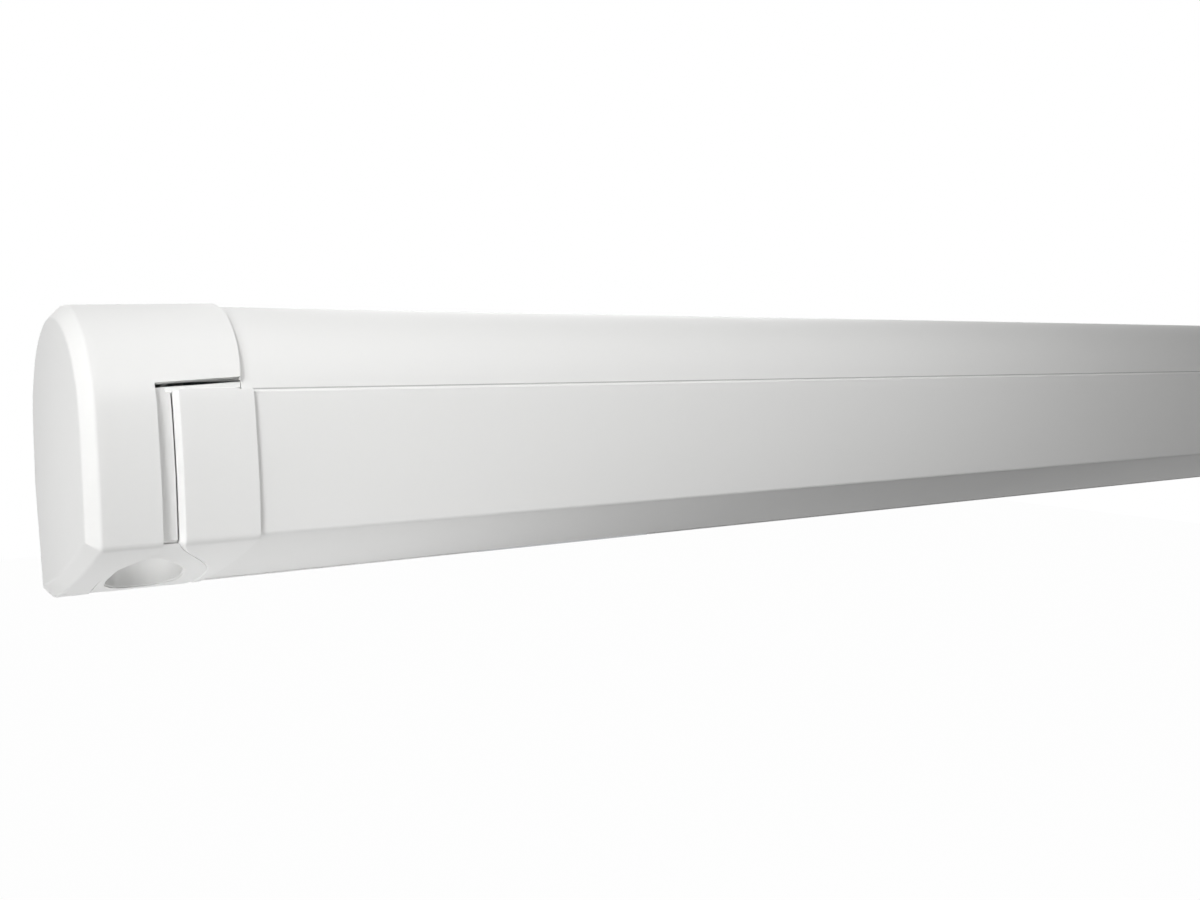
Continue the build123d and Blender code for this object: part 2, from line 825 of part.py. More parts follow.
# Support legs, stowed in two rows inside the lead rail
leg_side = 17.0
leg_corner = 2.5
leg_wall = 1.4
leg_front_gap = 5.0
leg_hinge_hole_radius = 3.4
leg_low_height = 0.5
leg_row_gap = 2.4
leg_start_inset = 135.0
leg_outer_length = 1000.0
leg_inner_shortfall = 60.0
leg_foot_length = 18.0
leg_foot_wall = 0.6
leg_knuckle_length = 16.0
leg_knuckle_plug = 30.0
leg_inner_slim = 0.15
leg_reach = crease_reach - rail_inset - rail_wall - leg_front_gap - leg_side / 2


def leg_bar(low_x, high_x, side, height):
    corner = leg_corner * side / leg_side
    return along(Pos(-leg_reach, height) * RectangleRounded(side, side, corner), low_x, high_x)


def leg_row(row):
    return leg_low_height + leg_side / 2 + row * (leg_side + leg_row_gap)


def leg_pieces(row):
    """Outer tube, sliding inner tube, foot and knuckle of a leg that is hinged at the left."""
    height = leg_row(row)
    start = -half_length + leg_start_inset
    end = start + leg_outer_length
    hollow_side = leg_side - 2 * leg_wall
    inner_side = hollow_side - 2 * leg_inner_slim
    outer = leg_bar(start, end, leg_side, height)
    outer = outer - leg_bar(start - overrun, end + overrun, hollow_side, height)
    inner_start = start + leg_inner_shortfall
    inner_hollow = inner_side - 2 * leg_wall
    inner = leg_bar(inner_start, end + leg_foot_length, inner_side, height)
    inner = inner - leg_bar(inner_start - overrun, end + leg_foot_length + overrun, inner_hollow, height)
    foot = leg_bar(end + body_clearance, end + leg_foot_length + leg_wall, leg_side + leg_foot_wall, height)
    foot = foot - leg_bar(start, end + leg_foot_length, inner_side, height)
    knuckle = leg_bar(start - leg_knuckle_length, start, leg_side, height)
    knuckle = knuckle + leg_bar(start, start + leg_knuckle_plug, hollow_side - 2 * plug_fit, height)
    hole = Rot(90, 0, 0) * Cylinder(leg_hinge_hole_radius, 2 * leg_side)
    hole = Pos(start - leg_knuckle_length / 2, -leg_reach, height) * hole
    return outer, inner, foot, knuckle - hole


# Clips that carry both legs
clip_width = 24.0
clip_wall = 1.4
clip_gap = 0.3
clip_shares = (-0.8, -0.27, 0.27, 0.8)


def leg_clips():
    back_near = -leg_reach + leg_side / 2 + leg_foot_wall + clip_gap
    low = leg_low_height - clip_gap - leg_foot_wall
    middle = leg_low_height + leg_side + leg_row_gap / 2
    top = leg_low_height + 2 * leg_side + leg_row_gap / 2
    back = slab(back_near, back_near + clip_wall, -heel_drop, top)
    floor = slab(-crease_reach, back_near, low - clip_wall, low)
    shelf_half = (leg_row_gap - leg_foot_wall) / 2 - clip_gap
    shelf = slab(-crease_reach, back_near, middle - shelf_half, middle + shelf_half)
    profile = (back + floor + shelf) & case_section(rail_inset + rail_wall)
    solids = []
    for share in clip_shares:
        x = share * (half_length - leg_start_inset)
        solids.append(along(profile, x - clip_width / 2, x + clip_width / 2))
    return solids


# Wall brackets
bracket_plate = 3.0
bracket_width = 110.0
bracket_top = 39.0
bracket_pad_low = 18.0
bracket_pad_high = 38.0
bracket_wedge_top = -8.0
bracket_bottom = -34.0
bracket_wedge_reach = 18.0
bracket_hole_radius = 3.3
bracket_hole_spacing = 76.0
bracket_hole_height = 4.0
bracket_place_share = 0.72
countersink_radius = 6.0
countersink_depth = 2.2


def wall_bracket(x):
    plate = slab(-bracket_plate, 0, bracket_bottom, bracket_top)
    pad = slab(-back_gap - shell_inset, 0, bracket_pad_low, bracket_pad_high)
    wedge = slab(-bracket_wedge_reach, 0, bracket_bottom, bracket_wedge_top)
    profile = plate + pad + wedge - case_section(shell_inset)
    bracket = along(profile, x - bracket_width / 2, x + bracket_width / 2)
    for side in (-1, 1):
        place = Pos(x + side * bracket_hole_spacing / 2, 0, bracket_hole_height)
        hole = Cylinder(bracket_hole_radius, 2 * bracket_wedge_reach)
        cone_seat = (Align.CENTER, Align.CENTER, Align.MAX)
        cone = Cone(bracket_hole_radius, countersink_radius, countersink_depth, align=cone_seat)
        cone = Pos(0, 0, bracket_plate) * cone
        bracket = bracket - place * Rot(90, 0, 0) * (hole + cone)
    return bracket


# Build and write every piece
def build_case():
    notch = notch_prism(notch_radius, -overrun, notch_roof, pod_back_reach - pod_gap)
    blanks = {"left": plain_case_cap() - notch, "right": mirrored(plain_case_cap())}
    cuts = cap_screws(fixed_fit)
    for side, cap in blanks.items():
        save(cut_with(cap, cuts), f"{side}_cassette_cap")
    save(cut_with(cassette_shell(), cuts), "cassette_shell")
    save(cap_screws(), "cassette_cap_screws")
    save(front_lip_seal(), "front_lip_seal")
    save(gear_housing(), "gear_housing")
    save(crank_bell(), "crank_bell")
    save(idler_housing(), "idler_housing")
    save(idler_bush(), "idler_bush")
    place = bracket_place_share * half_length
    for name, x in (("left", -place), ("centre", 0), ("right", place)):
        save(wall_bracket(x), f"{name}_wall_bracket")
    save_pair(shoulder_bracket(), "shoulder_bracket")


def build_roller():
    save(roller_tube(), "roller_tube")
    save(cloth_roll(), "cloth_roll")
    collar = roller_end_gap - chamber_end - collar_thickness
    save(roller_plug(drive_shaft_radius, drive_shaft_end, collar), "roller_drive_plug")
    idler_collar = roller_end_gap - chamber_end - bush_flange - body_clearance
    save(mirrored(roller_plug(idler_shaft_radius, idler_shaft_end, idler_collar)), "roller_idler_plug")
    save(worm_wheel(), "worm_wheel")
    save(worm_shaft(), "worm_shaft")


def build_rail():
    cuts = rail_screws(fixed_fit)
    save(cut_with(lead_rail(), cuts), "lead_rail")
    save(cut_with(rail_cap(True), cuts), "left_rail_cap")
    save(cut_with(mirrored(rail_cap(False)), cuts), "right_rail_cap")
    save(rail_screws(), "rail_cap_screws")
    save(keder_cord(), "keder_cord")
    save(cloth_hem(), "cloth_hem")
    save(cloth_panel(), "cloth_panel")
    save_pair(wrist_bracket(), "wrist_bracket")
    for side, row in (("left", 0), ("right", 1)):
        names = ("leg_outer_tube", "leg_inner_tube", "leg_foot", "leg_knuckle")
        for name, shape in zip(names, leg_pieces(row)):
            save(shape if side == "left" else mirrored(shape), f"{side}_{name}")
    save(leg_clips(), "leg_clips")


def build_arms():
    pieces = {
        "upper_arm": arm_tube(0, upper_width, upper_height),
        "shoulder_eye": arm_eye(0, upper_width, upper_height),
        "elbow_fork": elbow_fork(),
        "elbow_pin": pin(elbow_x, elbow_y, upper_height / 2),
        "forearm": arm_tube(wrist_y, fore_width, fore_height),
        "elbow_tongue": elbow_tongue(),
        "wrist_eye": arm_eye(wrist_y, fore_width, fore_height),
        "arm_spring": arm_spring(),
        "shoulder_pin": pin(shoulder_x, 0, upper_height / 2 + lug_gap + lug_thickness),
        "wrist_pin": pin(shoulder_x, wrist_y, fore_height / 2 + lug_gap + lug_thickness),
    }
    for name, shape in pieces.items():
        save_pair(placed(shape), name)


build_case()
build_roller()
build_rail()
build_arms()
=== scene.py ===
import json
from math import acos, asin, atan2, cos, pi, radians, sin, sqrt, tan
import bmesh
import bpy
import numpy as np
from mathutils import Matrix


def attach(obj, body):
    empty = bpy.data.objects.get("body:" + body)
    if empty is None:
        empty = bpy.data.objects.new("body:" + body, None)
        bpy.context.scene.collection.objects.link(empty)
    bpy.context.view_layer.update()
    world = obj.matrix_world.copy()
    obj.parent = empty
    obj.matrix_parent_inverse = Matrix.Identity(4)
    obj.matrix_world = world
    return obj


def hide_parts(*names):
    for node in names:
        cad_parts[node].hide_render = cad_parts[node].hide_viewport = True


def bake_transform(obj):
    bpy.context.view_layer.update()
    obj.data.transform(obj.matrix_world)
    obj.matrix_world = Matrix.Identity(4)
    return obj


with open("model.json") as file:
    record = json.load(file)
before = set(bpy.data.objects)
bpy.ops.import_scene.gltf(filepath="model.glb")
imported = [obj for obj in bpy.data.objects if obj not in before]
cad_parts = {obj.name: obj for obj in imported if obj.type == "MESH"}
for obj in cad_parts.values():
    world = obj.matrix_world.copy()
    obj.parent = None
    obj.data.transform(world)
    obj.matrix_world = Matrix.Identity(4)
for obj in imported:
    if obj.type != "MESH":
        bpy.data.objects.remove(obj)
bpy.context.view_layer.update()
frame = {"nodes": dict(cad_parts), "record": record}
scene = bpy.context.scene
mm = 0.001

# which body every node rides on, and which finish it takes
bodyOf = {node: body for body, nodes in frame["record"]["behaviour"]["bodies"].items() for node in nodes}
slotOf = {part["node"]: part["material_slot"] for part in frame["record"]["subparts"]}


def startMaterial(name, settings):
    material = bpy.data.materials.new(name)
    material.use_nodes = True
    shader = material.node_tree.nodes["Principled BSDF"]
    for socket, value in settings.items():
        shader.inputs[socket].default_value = value
    return material, shader


def addNode(owner, kind, values=None, **settings):
    # a node of a material or a world, with its inputs' values and its own settings
    node = owner.node_tree.nodes.new(kind)
    for key, value in settings.items():
        setattr(node, key, value)
    for socket, value in (values or {}).items():
        node.inputs[socket].default_value = value
    return node


def joinNodes(owner, *links):
    # each link is a node and its output, then a node and its input
    for source, output, target, place in links:
        owner.node_tree.links.new(source.outputs[output], target.inputs[place])


def grainMaterial(name, light, dark, roughness, grain, patch=6.0, bump=0.1, stretch=(1, 1, 1), **extra):
    # the colour drifts between light and dark in soft patches, and the bump is fine noise of the given grain in metres
    settings = {"Roughness": roughness, "Base Color": (*light, 1)}
    settings.update({socket.replace("_", " "): value for socket, value in extra.items()})
    material, shader = startMaterial(name, settings)
    place = addNode(material, "ShaderNodeTexCoord")
    turn = addNode(material, "ShaderNodeMapping", {"Scale": stretch})
    fine = addNode(material, "ShaderNodeTexNoise", {"Scale": 1 / grain, "Detail": 3, "Roughness": 0.55})
    broad = addNode(material, "ShaderNodeTexNoise", {"Scale": patch, "Detail": 4})
    mix = addNode(material, "ShaderNodeMix", {"A": (*light, 1), "B": (*dark, 1)}, data_type="RGBA")
    relief = addNode(material, "ShaderNodeBump", {"Strength": bump, "Distance": 0.0001})
    rough = addNode(material, "ShaderNodeMapRange", {"To Min": roughness * 0.9, "To Max": roughness * 1.15})
    joinNodes(
        material,
        (place, "Object", turn, "Vector"), (turn, "Vector", fine, "Vector"), (place, "Object", broad, "Vector"),
        (broad, "Fac", mix, "Factor"), (mix, "Result", shader, "Base Color"), (fine, "Fac", relief, "Height"),
        (relief, "Normal", shader, "Normal"), (broad, "Fac", rough, "Value"), (rough, "Result", shader, "Roughness"),
    )
    return material


def clothMaterial(name, light, dark, thread):
    # a plain weave: warp and weft are two sine ridges on the piece's own UV, which is in metres
    material, shader = startMaterial(name, {"Roughness": 0.72, "Sheen Weight": 0.15})
    place = addNode(material, "ShaderNodeUVMap", uv_map="clothMap")
    # a wave of scale one repeats every 0.314 m
    ridges = {"Scale": 0.314 / thread, "Distortion": 0.4}
    warp = addNode(material, "ShaderNodeTexWave", ridges, bands_direction="X")
    weft = addNode(material, "ShaderNodeTexWave", ridges, bands_direction="Y")
    cross = addNode(material, "ShaderNodeMath", operation="MAXIMUM")
    cloud = addNode(material, "ShaderNodeTexNoise", {"Scale": 9, "Detail": 4})
    both = addNode(material, "ShaderNodeMath", {1: 0.35}, operation="MULTIPLY")
    total = addNode(material, "ShaderNodeMath", operation="ADD", use_clamp=True)
    mix = addNode(material, "ShaderNodeMix", {"A": (*dark, 1), "B": (*light, 1)}, data_type="RGBA")
    relief = addNode(material, "ShaderNodeBump", {"Strength": 0.35, "Distance": 0.0002})
    joinNodes(
        material,
        (place, "UV", warp, "Vector"), (place, "UV", weft, "Vector"), (place, "UV", cloud, "Vector"),
        (warp, "Fac", cross, 0), (weft, "Fac", cross, 1), (cross, 0, both, 0), (both, 0, total, 0),
        (cloud, "Fac", total, 1), (total, 0, mix, "Factor"), (mix, "Result", shader, "Base Color"),
        (cross, 0, relief, "Height"), (relief, "Normal", shader, "Normal"),
    )
    return material


# each finish's light and dark colour, roughness, grain in metres, and what else it needs
dull, metal = {"Specular_IOR_Level": 0.2}, {"Metallic": 1.0}
grains = {
    "cap_plastic": ((0.86, 0.86, 0.85), (0.835, 0.835, 0.825), 0.38, 0.0006, {"bump": 0.06, **dull}),
    "housing_plastic": ((0.83, 0.83, 0.82), (0.8, 0.8, 0.79), 0.44, 0.0006, {"bump": 0.08, **dull}),
    "powder_coat": ((0.85, 0.85, 0.84), (0.825, 0.825, 0.815), 0.55, 0.0012, {"bump": 0.12, **dull}),
    "bracket_metal": ((0.6, 0.61, 0.62), (0.5, 0.51, 0.52), 0.42, 0.004, {"stretch": (1, 12, 12), **metal}),
    "cast_metal": ((0.7, 0.7, 0.69), (0.6, 0.6, 0.6), 0.5, 0.0014, {"bump": 0.35, "Metallic": 0.7}),
    "arm_paint": ((0.8, 0.8, 0.79), (0.76, 0.76, 0.75), 0.38, 0.0012, {"bump": 0.12}),
    "bright_steel": ((0.72, 0.72, 0.71), (0.62, 0.62, 0.62), 0.22, 0.0008, {"bump": 0.06, **metal}),
    "spring_steel": ((0.36, 0.36, 0.37), (0.26, 0.26, 0.27), 0.34, 0.0008, metal),
    "roller_steel": ((0.62, 0.64, 0.66), (0.48, 0.5, 0.52), 0.4, 0.003, {"patch": 55, "bump": 0.08, **metal}),
    "black_plastic": ((0.035, 0.035, 0.037), (0.02, 0.02, 0.02), 0.48, 0.0008, {"bump": 0.15}),
    "gear_plastic": ((0.72, 0.7, 0.62), (0.66, 0.64, 0.56), 0.4, 0.0008, {}),
    "leg_aluminium": ((0.68, 0.69, 0.7), (0.58, 0.59, 0.6), 0.32, 0.0025,
                      {"bump": 0.12, "stretch": (0.03, 1, 1), **metal}),
    "black_rubber": ((0.5, 0.5, 0.49), (0.44, 0.44, 0.43), 0.62, 0.0008, {"bump": 0.15}),
}
finishes = {slot: grainMaterial(slot[0] + slot.title().replace("_", "")[1:], *values, **more)
            for slot, (*values, more) in grains.items()}
finishes["awning_cloth"] = clothMaterial("awningCloth", (0.56, 0.57, 0.58), (0.4, 0.41, 0.43), 0.0006)
print("finishes ready", len(finishes))


def gridFaces(rows, columns, closeColumns=False):
    # quads between neighbouring rows and columns; rows run along X and columns anticlockwise, so they face outwards
    row = np.arange(rows - 1)[:, None]
    column = np.arange(columns if closeColumns else columns - 1)[None, :]
    after = (column + 1) % columns
    quads = [row * columns + column, row * columns + after, (row + 1) * columns + after, (row + 1) * columns + column]
    return np.stack(quads, axis=-1).reshape(-1, 4).tolist()


def mergePoints(mesh, within, straighten=False):
    # points closer than this many millimetres become one, and flat faces are joined where asked
    work = bmesh.new()
    work.from_mesh(mesh)
    bmesh.ops.remove_doubles(work, verts=work.verts, dist=within * mm)
    if straighten:
        bmesh.ops.dissolve_limit(work, angle_limit=radians(0.6), verts=work.verts, edges=work.edges)
    work.to_mesh(mesh)
    work.free()


def showMesh(name, mesh, slot):
    mesh.materials.clear()
    mesh.materials.append(finishes[slot])
    mesh.shade_smooth()
    piece = bpy.data.objects.new(name, mesh)
    scene.collection.objects.link(piece)
    return piece


def addPiece(name, points, faces, slot, mergeWithin=0.0):
    # the points are in millimetres, and the faces are lists of point numbers
    mesh = bpy.data.meshes.new(name)
    mesh.from_pydata((np.asarray(points, float).reshape(-1, 3) * mm).tolist(), [], faces)
    if mergeWithin:
        mergePoints(mesh, mergeWithin)
    return showMesh(name, mesh, slot)


def standFor(piece, body, *nodes):
    if nodes:
        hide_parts(*nodes)
    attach(piece, body)
    return piece


def thicken(piece, wall):
    # a wall of this thickness, all of it inside the drawn skin
    solid = piece.modifiers.new("wall", "SOLIDIFY")
    solid.thickness = wall * mm
    solid.offset = -1
    return piece


def roundEdges(piece, width, segments=2, angle=38):
    # every edge sharper than the angle becomes a small round, in millimetres
    bevel = piece.modifiers.new("edges", "BEVEL")
    bevel.width = width * mm
    bevel.segments = segments
    bevel.limit_method = "ANGLE"
    bevel.angle_limit = radians(angle)
    bevel.use_clamp_overlap = True
    weigh = piece.modifiers.new("shading", "WEIGHTED_NORMAL")
    weigh.keep_sharp = False
    return piece


def closedBar(profile, xStart, xEnd):
    # a closed section, anticlockwise, carried along X, with a flat face at each end
    profile = np.asarray(profile, float)
    count = len(profile)
    ends = [np.column_stack([np.full(count, x), profile]) for x in (xStart, xEnd)]
    faces = gridFaces(2, count, True)
    faces.append(list(range(count))[::-1])
    faces.append(list(range(count, 2 * count)))
    return np.vstack(ends), faces


def joinIslands(islands):
    # several meshes, each points and faces, as one
    points, faces, first = [], [], 0
    for islandPoints, islandFaces in islands:
        points.append(np.asarray(islandPoints, float).reshape(-1, 3))
        faces += [[index + first for index in face] for face in islandFaces]
        first += len(points[-1])
    return np.vstack(points), faces


def mirrorPiece(points, faces):
    # the same surface at the other end: X changes sign and each face is turned over
    flipped = np.asarray(points, float).reshape(-1, 3) * (-1, 1, 1)
    return flipped, [face[::-1] for face in faces]


def softCopy(node, width):
    # a node's own mesh, merged, with its edges rounded
    mesh = frame["nodes"][node].data.copy()
    mergePoints(mesh, 0.002, straighten=True)
    for extra in ("custom_normal", "sharp_edge", "sharp_face"):
        if extra in mesh.attributes:
            mesh.attributes.remove(mesh.attributes[extra])
    piece = roundEdges(showMesh(f"{node}_soft", mesh, slotOf[node]), width, angle=32)
    return standFor(piece, bodyOf[node], node)


# Outlines have Y to the right and Z up, and go anticlockwise as seen from the right-hand end. A stretch of one is its
# points, about a millimetre apart, and its normals.
outlineStep = 1.0


def unit(vectors):
    return vectors / np.linalg.norm(vectors, axis=-1, keepdims=True)


def arcStretch(centre, radius, startAngle, endAngle):
    # the centre plus the radius times (cosine, sine) of evenly spaced angles
    count = max(4, int(abs(endAngle - startAngle) * radius / outlineStep))
    angle = np.linspace(startAngle, endAngle, count)
    normal = np.column_stack([np.cos(angle), np.sin(angle)])
    return np.asarray(centre) + radius * normal, normal


def lineStretch(start, end):
    # evenly spaced points, whose normal lies a quarter turn clockwise from the direction of travel
    start, end = np.asarray(start, float), np.asarray(end, float)
    count = max(2, int(np.linalg.norm(end - start) / outlineStep))
    share = np.linspace(0, 1, count)[:, None]
    along = unit(end - start)
    return start + share * (end - start), np.tile([along[1], -along[0]], (count, 1))


def trimStretch(points, normals, cutStart, cutEnd):
    # the middle of a stretch, with end points exactly where the cuts fall
    length = np.r_[0, np.cumsum(np.linalg.norm(np.diff(points, axis=0), axis=1))]
    inside = (length > cutStart + 0.001) & (length < length[-1] - cutEnd - 0.001)
    places = np.r_[cutStart, length[inside], length[-1] - cutEnd]
    points, normals = (np.column_stack([np.interp(places, length, rows[:, axis]) for axis in (0, 1)])
                       for rows in (points, normals))
    return points, unit(normals)


# the least turn in radians that counts as a corner, and the limit in millimetres of a point with no corner near it
smallestTurn, noLimit = 0.03, 1e3


def chainStretches(stretches, rounding, closed=False, fanSteps=9):
    # stretches joined end to end; where the direction jumps, a fan of normals about the corner makes a round edge
    count = len(stretches)
    cuts = np.zeros((count, 2))
    fans, corners = {}, {}
    for index in range(count if closed else count - 1):
        following = (index + 1) % count
        before, after = stretches[index][1][-1], stretches[following][1][0]
        turn = atan2(before[0] * after[1] - before[1] * after[0], before @ after)
        if abs(turn) < smallestTurn:
            continue
        slant = tan(abs(turn) / 2)
        cuts[index, 1] = cuts[following, 0] = rounding[index] * slant
        angle = atan2(before[1], before[0]) + np.linspace(0, turn, fanSteps)
        corner, mitre = stretches[index][0][-1], (before + after) / (1 + before @ after)
        corners[index, 1] = corners[following, 0] = (corner, mitre, slant)
        fan = np.column_stack([np.cos(angle), np.sin(angle)])
        anchors, mitres = np.tile(corner, (fanSteps, 1)), np.tile(mitre, (fanSteps, 1))
        radius = np.full(fanSteps, rounding[index])
        fans[index] = (anchors, fan, mitres, radius, anchors, mitres, radius)
    parts, marks = [], []
    for index, (points, normals) in enumerate(stretches):
        points, normals = trimStretch(points, normals, *cuts[index])
        # how far in a point may go before its side meets the next side at the corner
        corner, cornerMitre = np.zeros((2, len(points), 2))
        limit = np.full(len(points), noLimit)
        for end in (0, 1):
            if (index, end) in corners:
                place, mitre, slant = corners[index, end]
                reach = np.linalg.norm(points - place, axis=1) / slant
                nearer = reach < limit
                corner[nearer], cornerMitre[nearer], limit[nearer] = place, mitre, reach[nearer]
        parts.append((points, normals, normals, np.zeros(len(points)), corner, cornerMitre, limit))
        if index in fans:
            marks.append(sum(len(part[0]) for part in parts) + fanSteps // 2)
            parts.append(fans[index])
    keys = ("anchor", "normal", "mitre", "fillet", "corner", "cornerMitre", "limit")
    outline = {key: np.concatenate(rows) for key, rows in zip(keys, zip(*parts))}
    fillet = outline["fillet"][:, None]
    surface = outline["anchor"] - fillet * outline["mitre"] + fillet * outline["normal"]
    steps = np.maximum(np.linalg.norm(np.diff(surface, axis=0), axis=1), 1e-5)
    outline["s"] = np.r_[0, np.cumsum(steps)]
    outline["surface"] = surface
    outline["marks"] = [outline["s"][mark] for mark in marks]
    outline["total"] = outline["s"][-1]
    return outline


def outlinePoint(outline, s, inset=0.0):
    # the outline's point at arc length s, moved inwards by inset; past a corner's radius its sides meet in a mitre
    s, inset = np.broadcast_arrays(np.asarray(s, float), np.asarray(inset, float))
    places = outline["s"]

    def spread(key):
        return np.stack([np.interp(s, places, outline[key][:, axis]) for axis in (0, 1)], axis=-1)

    fillet = np.interp(s, places, outline["fillet"])
    radius = np.where(fillet > 0, np.maximum(fillet - inset, 0), 0)[..., None]
    point = spread("anchor") - (inset[..., None] + radius) * spread("mitre") + radius * unit(spread("normal"))
    nearest = np.clip(np.rint(np.interp(s, places, np.arange(len(places)))).astype(int), 0, len(places) - 1)
    past = inset > np.interp(s, places, np.minimum(outline["limit"], noLimit)) - 1e-6
    met = outline["corner"][nearest] - inset[..., None] * outline["cornerMitre"][nearest]
    return np.where((past & (outline["limit"][nearest] < 0.9 * noLimit))[..., None], met, point)


def outlineNormal(outline, s):
    return unit(np.stack([np.interp(s, outline["s"], outline["normal"][:, axis]) for axis in (0, 1)], axis=-1))


def samples(outline, start, end, step, extra=()):
    # evenly spaced arc lengths, with every step of the round corners between them
    corners = outline["s"][outline["fillet"] > 0]
    corners = corners[(corners > start + 0.05) & (corners < end - 0.05)]
    extra = np.asarray([value for value in extra if start < value < end], float)
    count = max(2, int((end - start) / step) + 1)
    merged = np.sort(np.r_[np.linspace(start, end, count), corners, extra])
    keep = np.r_[True, np.diff(merged) > 0.02]
    keep[-1] = True
    return merged[keep]


caseShape = {
    "endX": -950.0, "backGap": 3.2, "frontArch": 48.6, "backArch": 50.4, "top": 91.0, "join": 50.0,
    "creaseReach": 105.5, "creaseDrop": 3.0, "backBreak": 14.3, "heelReach": 14.0, "heelDrop": 35.5,
    "bottomBulge": 2.0, "creaseRound": 3.6, "heelRound": 1.5, "breakRound": 6.0,
}


def makeCaseOutline():
    # back line, two arches, a long arc down the front, a shallow arc below and the line back up to the wall
    shape = caseShape
    reach = shape["backGap"] + shape["backArch"]
    backCentre = np.array([-reach, shape["top"] - shape["backArch"]])
    frontCentre = np.array([-reach, shape["top"] - shape["frontArch"]])
    joinAngle = pi - asin((shape["join"] - frontCentre[1]) / shape["frontArch"])
    joinNormal = np.array([cos(joinAngle), sin(joinAngle)])
    joint = frontCentre + shape["frontArch"] * joinNormal
    crease = np.array([-shape["creaseReach"], -shape["creaseDrop"]])
    heel = np.array([-shape["heelReach"], -shape["heelDrop"]])
    backBreak = np.array([-shape["backGap"], shape["backBreak"]])
    toJoint = joint - crease
    frontRadius = toJoint @ toJoint / (2 * toJoint @ joinNormal)
    frontMiddle = joint - frontRadius * joinNormal
    creaseAngle = atan2(*(crease - frontMiddle)[::-1]) % (2 * pi)
    chord = heel - crease
    outward = unit(np.array([chord[1], -chord[0]]))
    half, bulge = np.linalg.norm(chord) / 2, shape["bottomBulge"]
    bottomRadius = (half**2 + bulge**2) / (2 * bulge)
    bottomMiddle = (crease + heel) / 2 - outward * (bottomRadius - bulge)
    bottomAngles = [atan2(*(end - bottomMiddle)[::-1]) % (2 * pi) for end in (crease, heel)]
    stretches = [
        lineStretch(backBreak, backCentre + (shape["backArch"], 0)),
        arcStretch(backCentre, shape["backArch"], 0, pi / 2),
        arcStretch(frontCentre, shape["frontArch"], pi / 2, joinAngle),
        arcStretch(frontMiddle, frontRadius, joinAngle, creaseAngle),
        arcStretch(bottomMiddle, bottomRadius, *bottomAngles),
        lineStretch(heel, backBreak),
    ]
    rounding = [0, 0, 0, shape["creaseRound"], shape["heelRound"], shape["breakRound"]]
    return chainStretches(stretches, rounding, closed=True)


case = makeCaseOutline()
# arc lengths at the crease, the heel and the highest point
creaseMark, heelMark = case["marks"][:2]
topMark = case["s"][np.argmax(case["surface"][:, 1])]


def frontAt(height):
    # arc length on the front, where the outline is at this height
    part = (case["s"] >= topMark) & (case["s"] <= creaseMark)
    return np.interp(-np.asarray(height, float), -case["surface"][part, 1], case["s"][part])


def bottomAt(depth):
    # arc length on the underside, where the outline is at this Y
    part = (case["s"] >= creaseMark) & (case["s"] <= heelMark)
    return np.interp(depth, case["surface"][part, 0], case["s"][part])


def onCase(x, s, inset):
    # points of the case's skin: x from the left end, arc length s (which may run past the start) and inset
    x, s, inset = np.broadcast_arrays(np.asarray(x, float), np.asarray(s, float), np.asarray(inset, float))
    across = outlinePoint(case, s % (case["total"] + 1e-9), inset)
    return np.concatenate([(caseShape["endX"] + x)[..., None], across], axis=-1)


def bendRow(start, bend, end, t):
    # the quadratic curve from start to end that heads for the bend at both ends
    return (1 - t) ** 2 * start + 2 * t * (1 - t) * bend + t**2 * end


def softChamfer(size, soft):
    # a 45 degree bevel whose two edges are small curves: how far in from the edge, and how deep
    diagonal = soft * sqrt(0.5)
    t = np.linspace(0, 1, 4)[:, None]
    corners = [
        ((0, size + soft), (0, size), (diagonal, size - diagonal)),
        ((size - diagonal, diagonal), (size, 0), (size + soft, 0)),
    ]
    return np.vstack([bendRow(np.array(a), np.array(b), np.array(c), t) for a, b, c in corners])


def smoothPath(points, steps=10, closed=False):
    # a curve through the points: each span is a cubic whose end slopes are half the step between its neighbours
    points = np.asarray(points, float)
    if closed:
        points = np.vstack([points[-1], points, points[:2]])
    slopes = np.gradient(points, axis=0)
    if closed:
        points, slopes = points[1:-1], slopes[1:-1]
    starts, ends, first, last = points[:-1], points[1:], slopes[:-1], slopes[1:]
    t = np.linspace(0, 1, steps, endpoint=False)[:, None, None]
    curve = (2 * t**3 - 3 * t**2 + 1) * starts + (t**3 - 2 * t**2 + t) * first
    curve = curve + (3 * t**2 - 2 * t**3) * ends + (t**3 - t**2) * last
    curve = curve.transpose(1, 0, 2).reshape(-1, points.shape[1])
    return curve if closed else np.vstack([curve, points[-1]])


# both edges beside the bell, as X from the left end and Y: the leg's edge, and the notch of the moving rail's cap
legEdge = smoothPath([(27.4, -100.0), (27.2, -97.0), (25.4, -91.0), (21.6, -84.5), (17.6, -76.0), (15.4, -66.0),
                      (14.9, -52.0), (16.4, -34.0), (18.6, -16.0)])
notchEdge = smoothPath([(34.6, -101.2), (37.0, -95.6), (40.4, -89.0), (47.0, -78.6), (53.2, -66.6), (57.4, -52.0),
                        (59.3, -36.0), (59.9, -20.0)])


# the case's end caps, each with a bevel round its end face, a hood on top and a leg down the front
capShape = {
    "bevel": 4.8, "bevelSoft": 0.9, "leg": 27.4, "hood": 63.0, "hoodEdge": 59.2, "hoodRise": 0.055, "hoodLean": 2.4,
    "draft": 1.75, "wall": 2.2, "edge": 0.45, "step": 1.6, "notchEnd": 4.0, "legRows": 8, "hoodRows": 12,
}


def hoodEdgeAt(x):
    # the height of the hood's lower front edge, which climbs a little towards the middle
    return capShape["hoodEdge"] + capShape["hoodRise"] * (x - capShape["leg"])


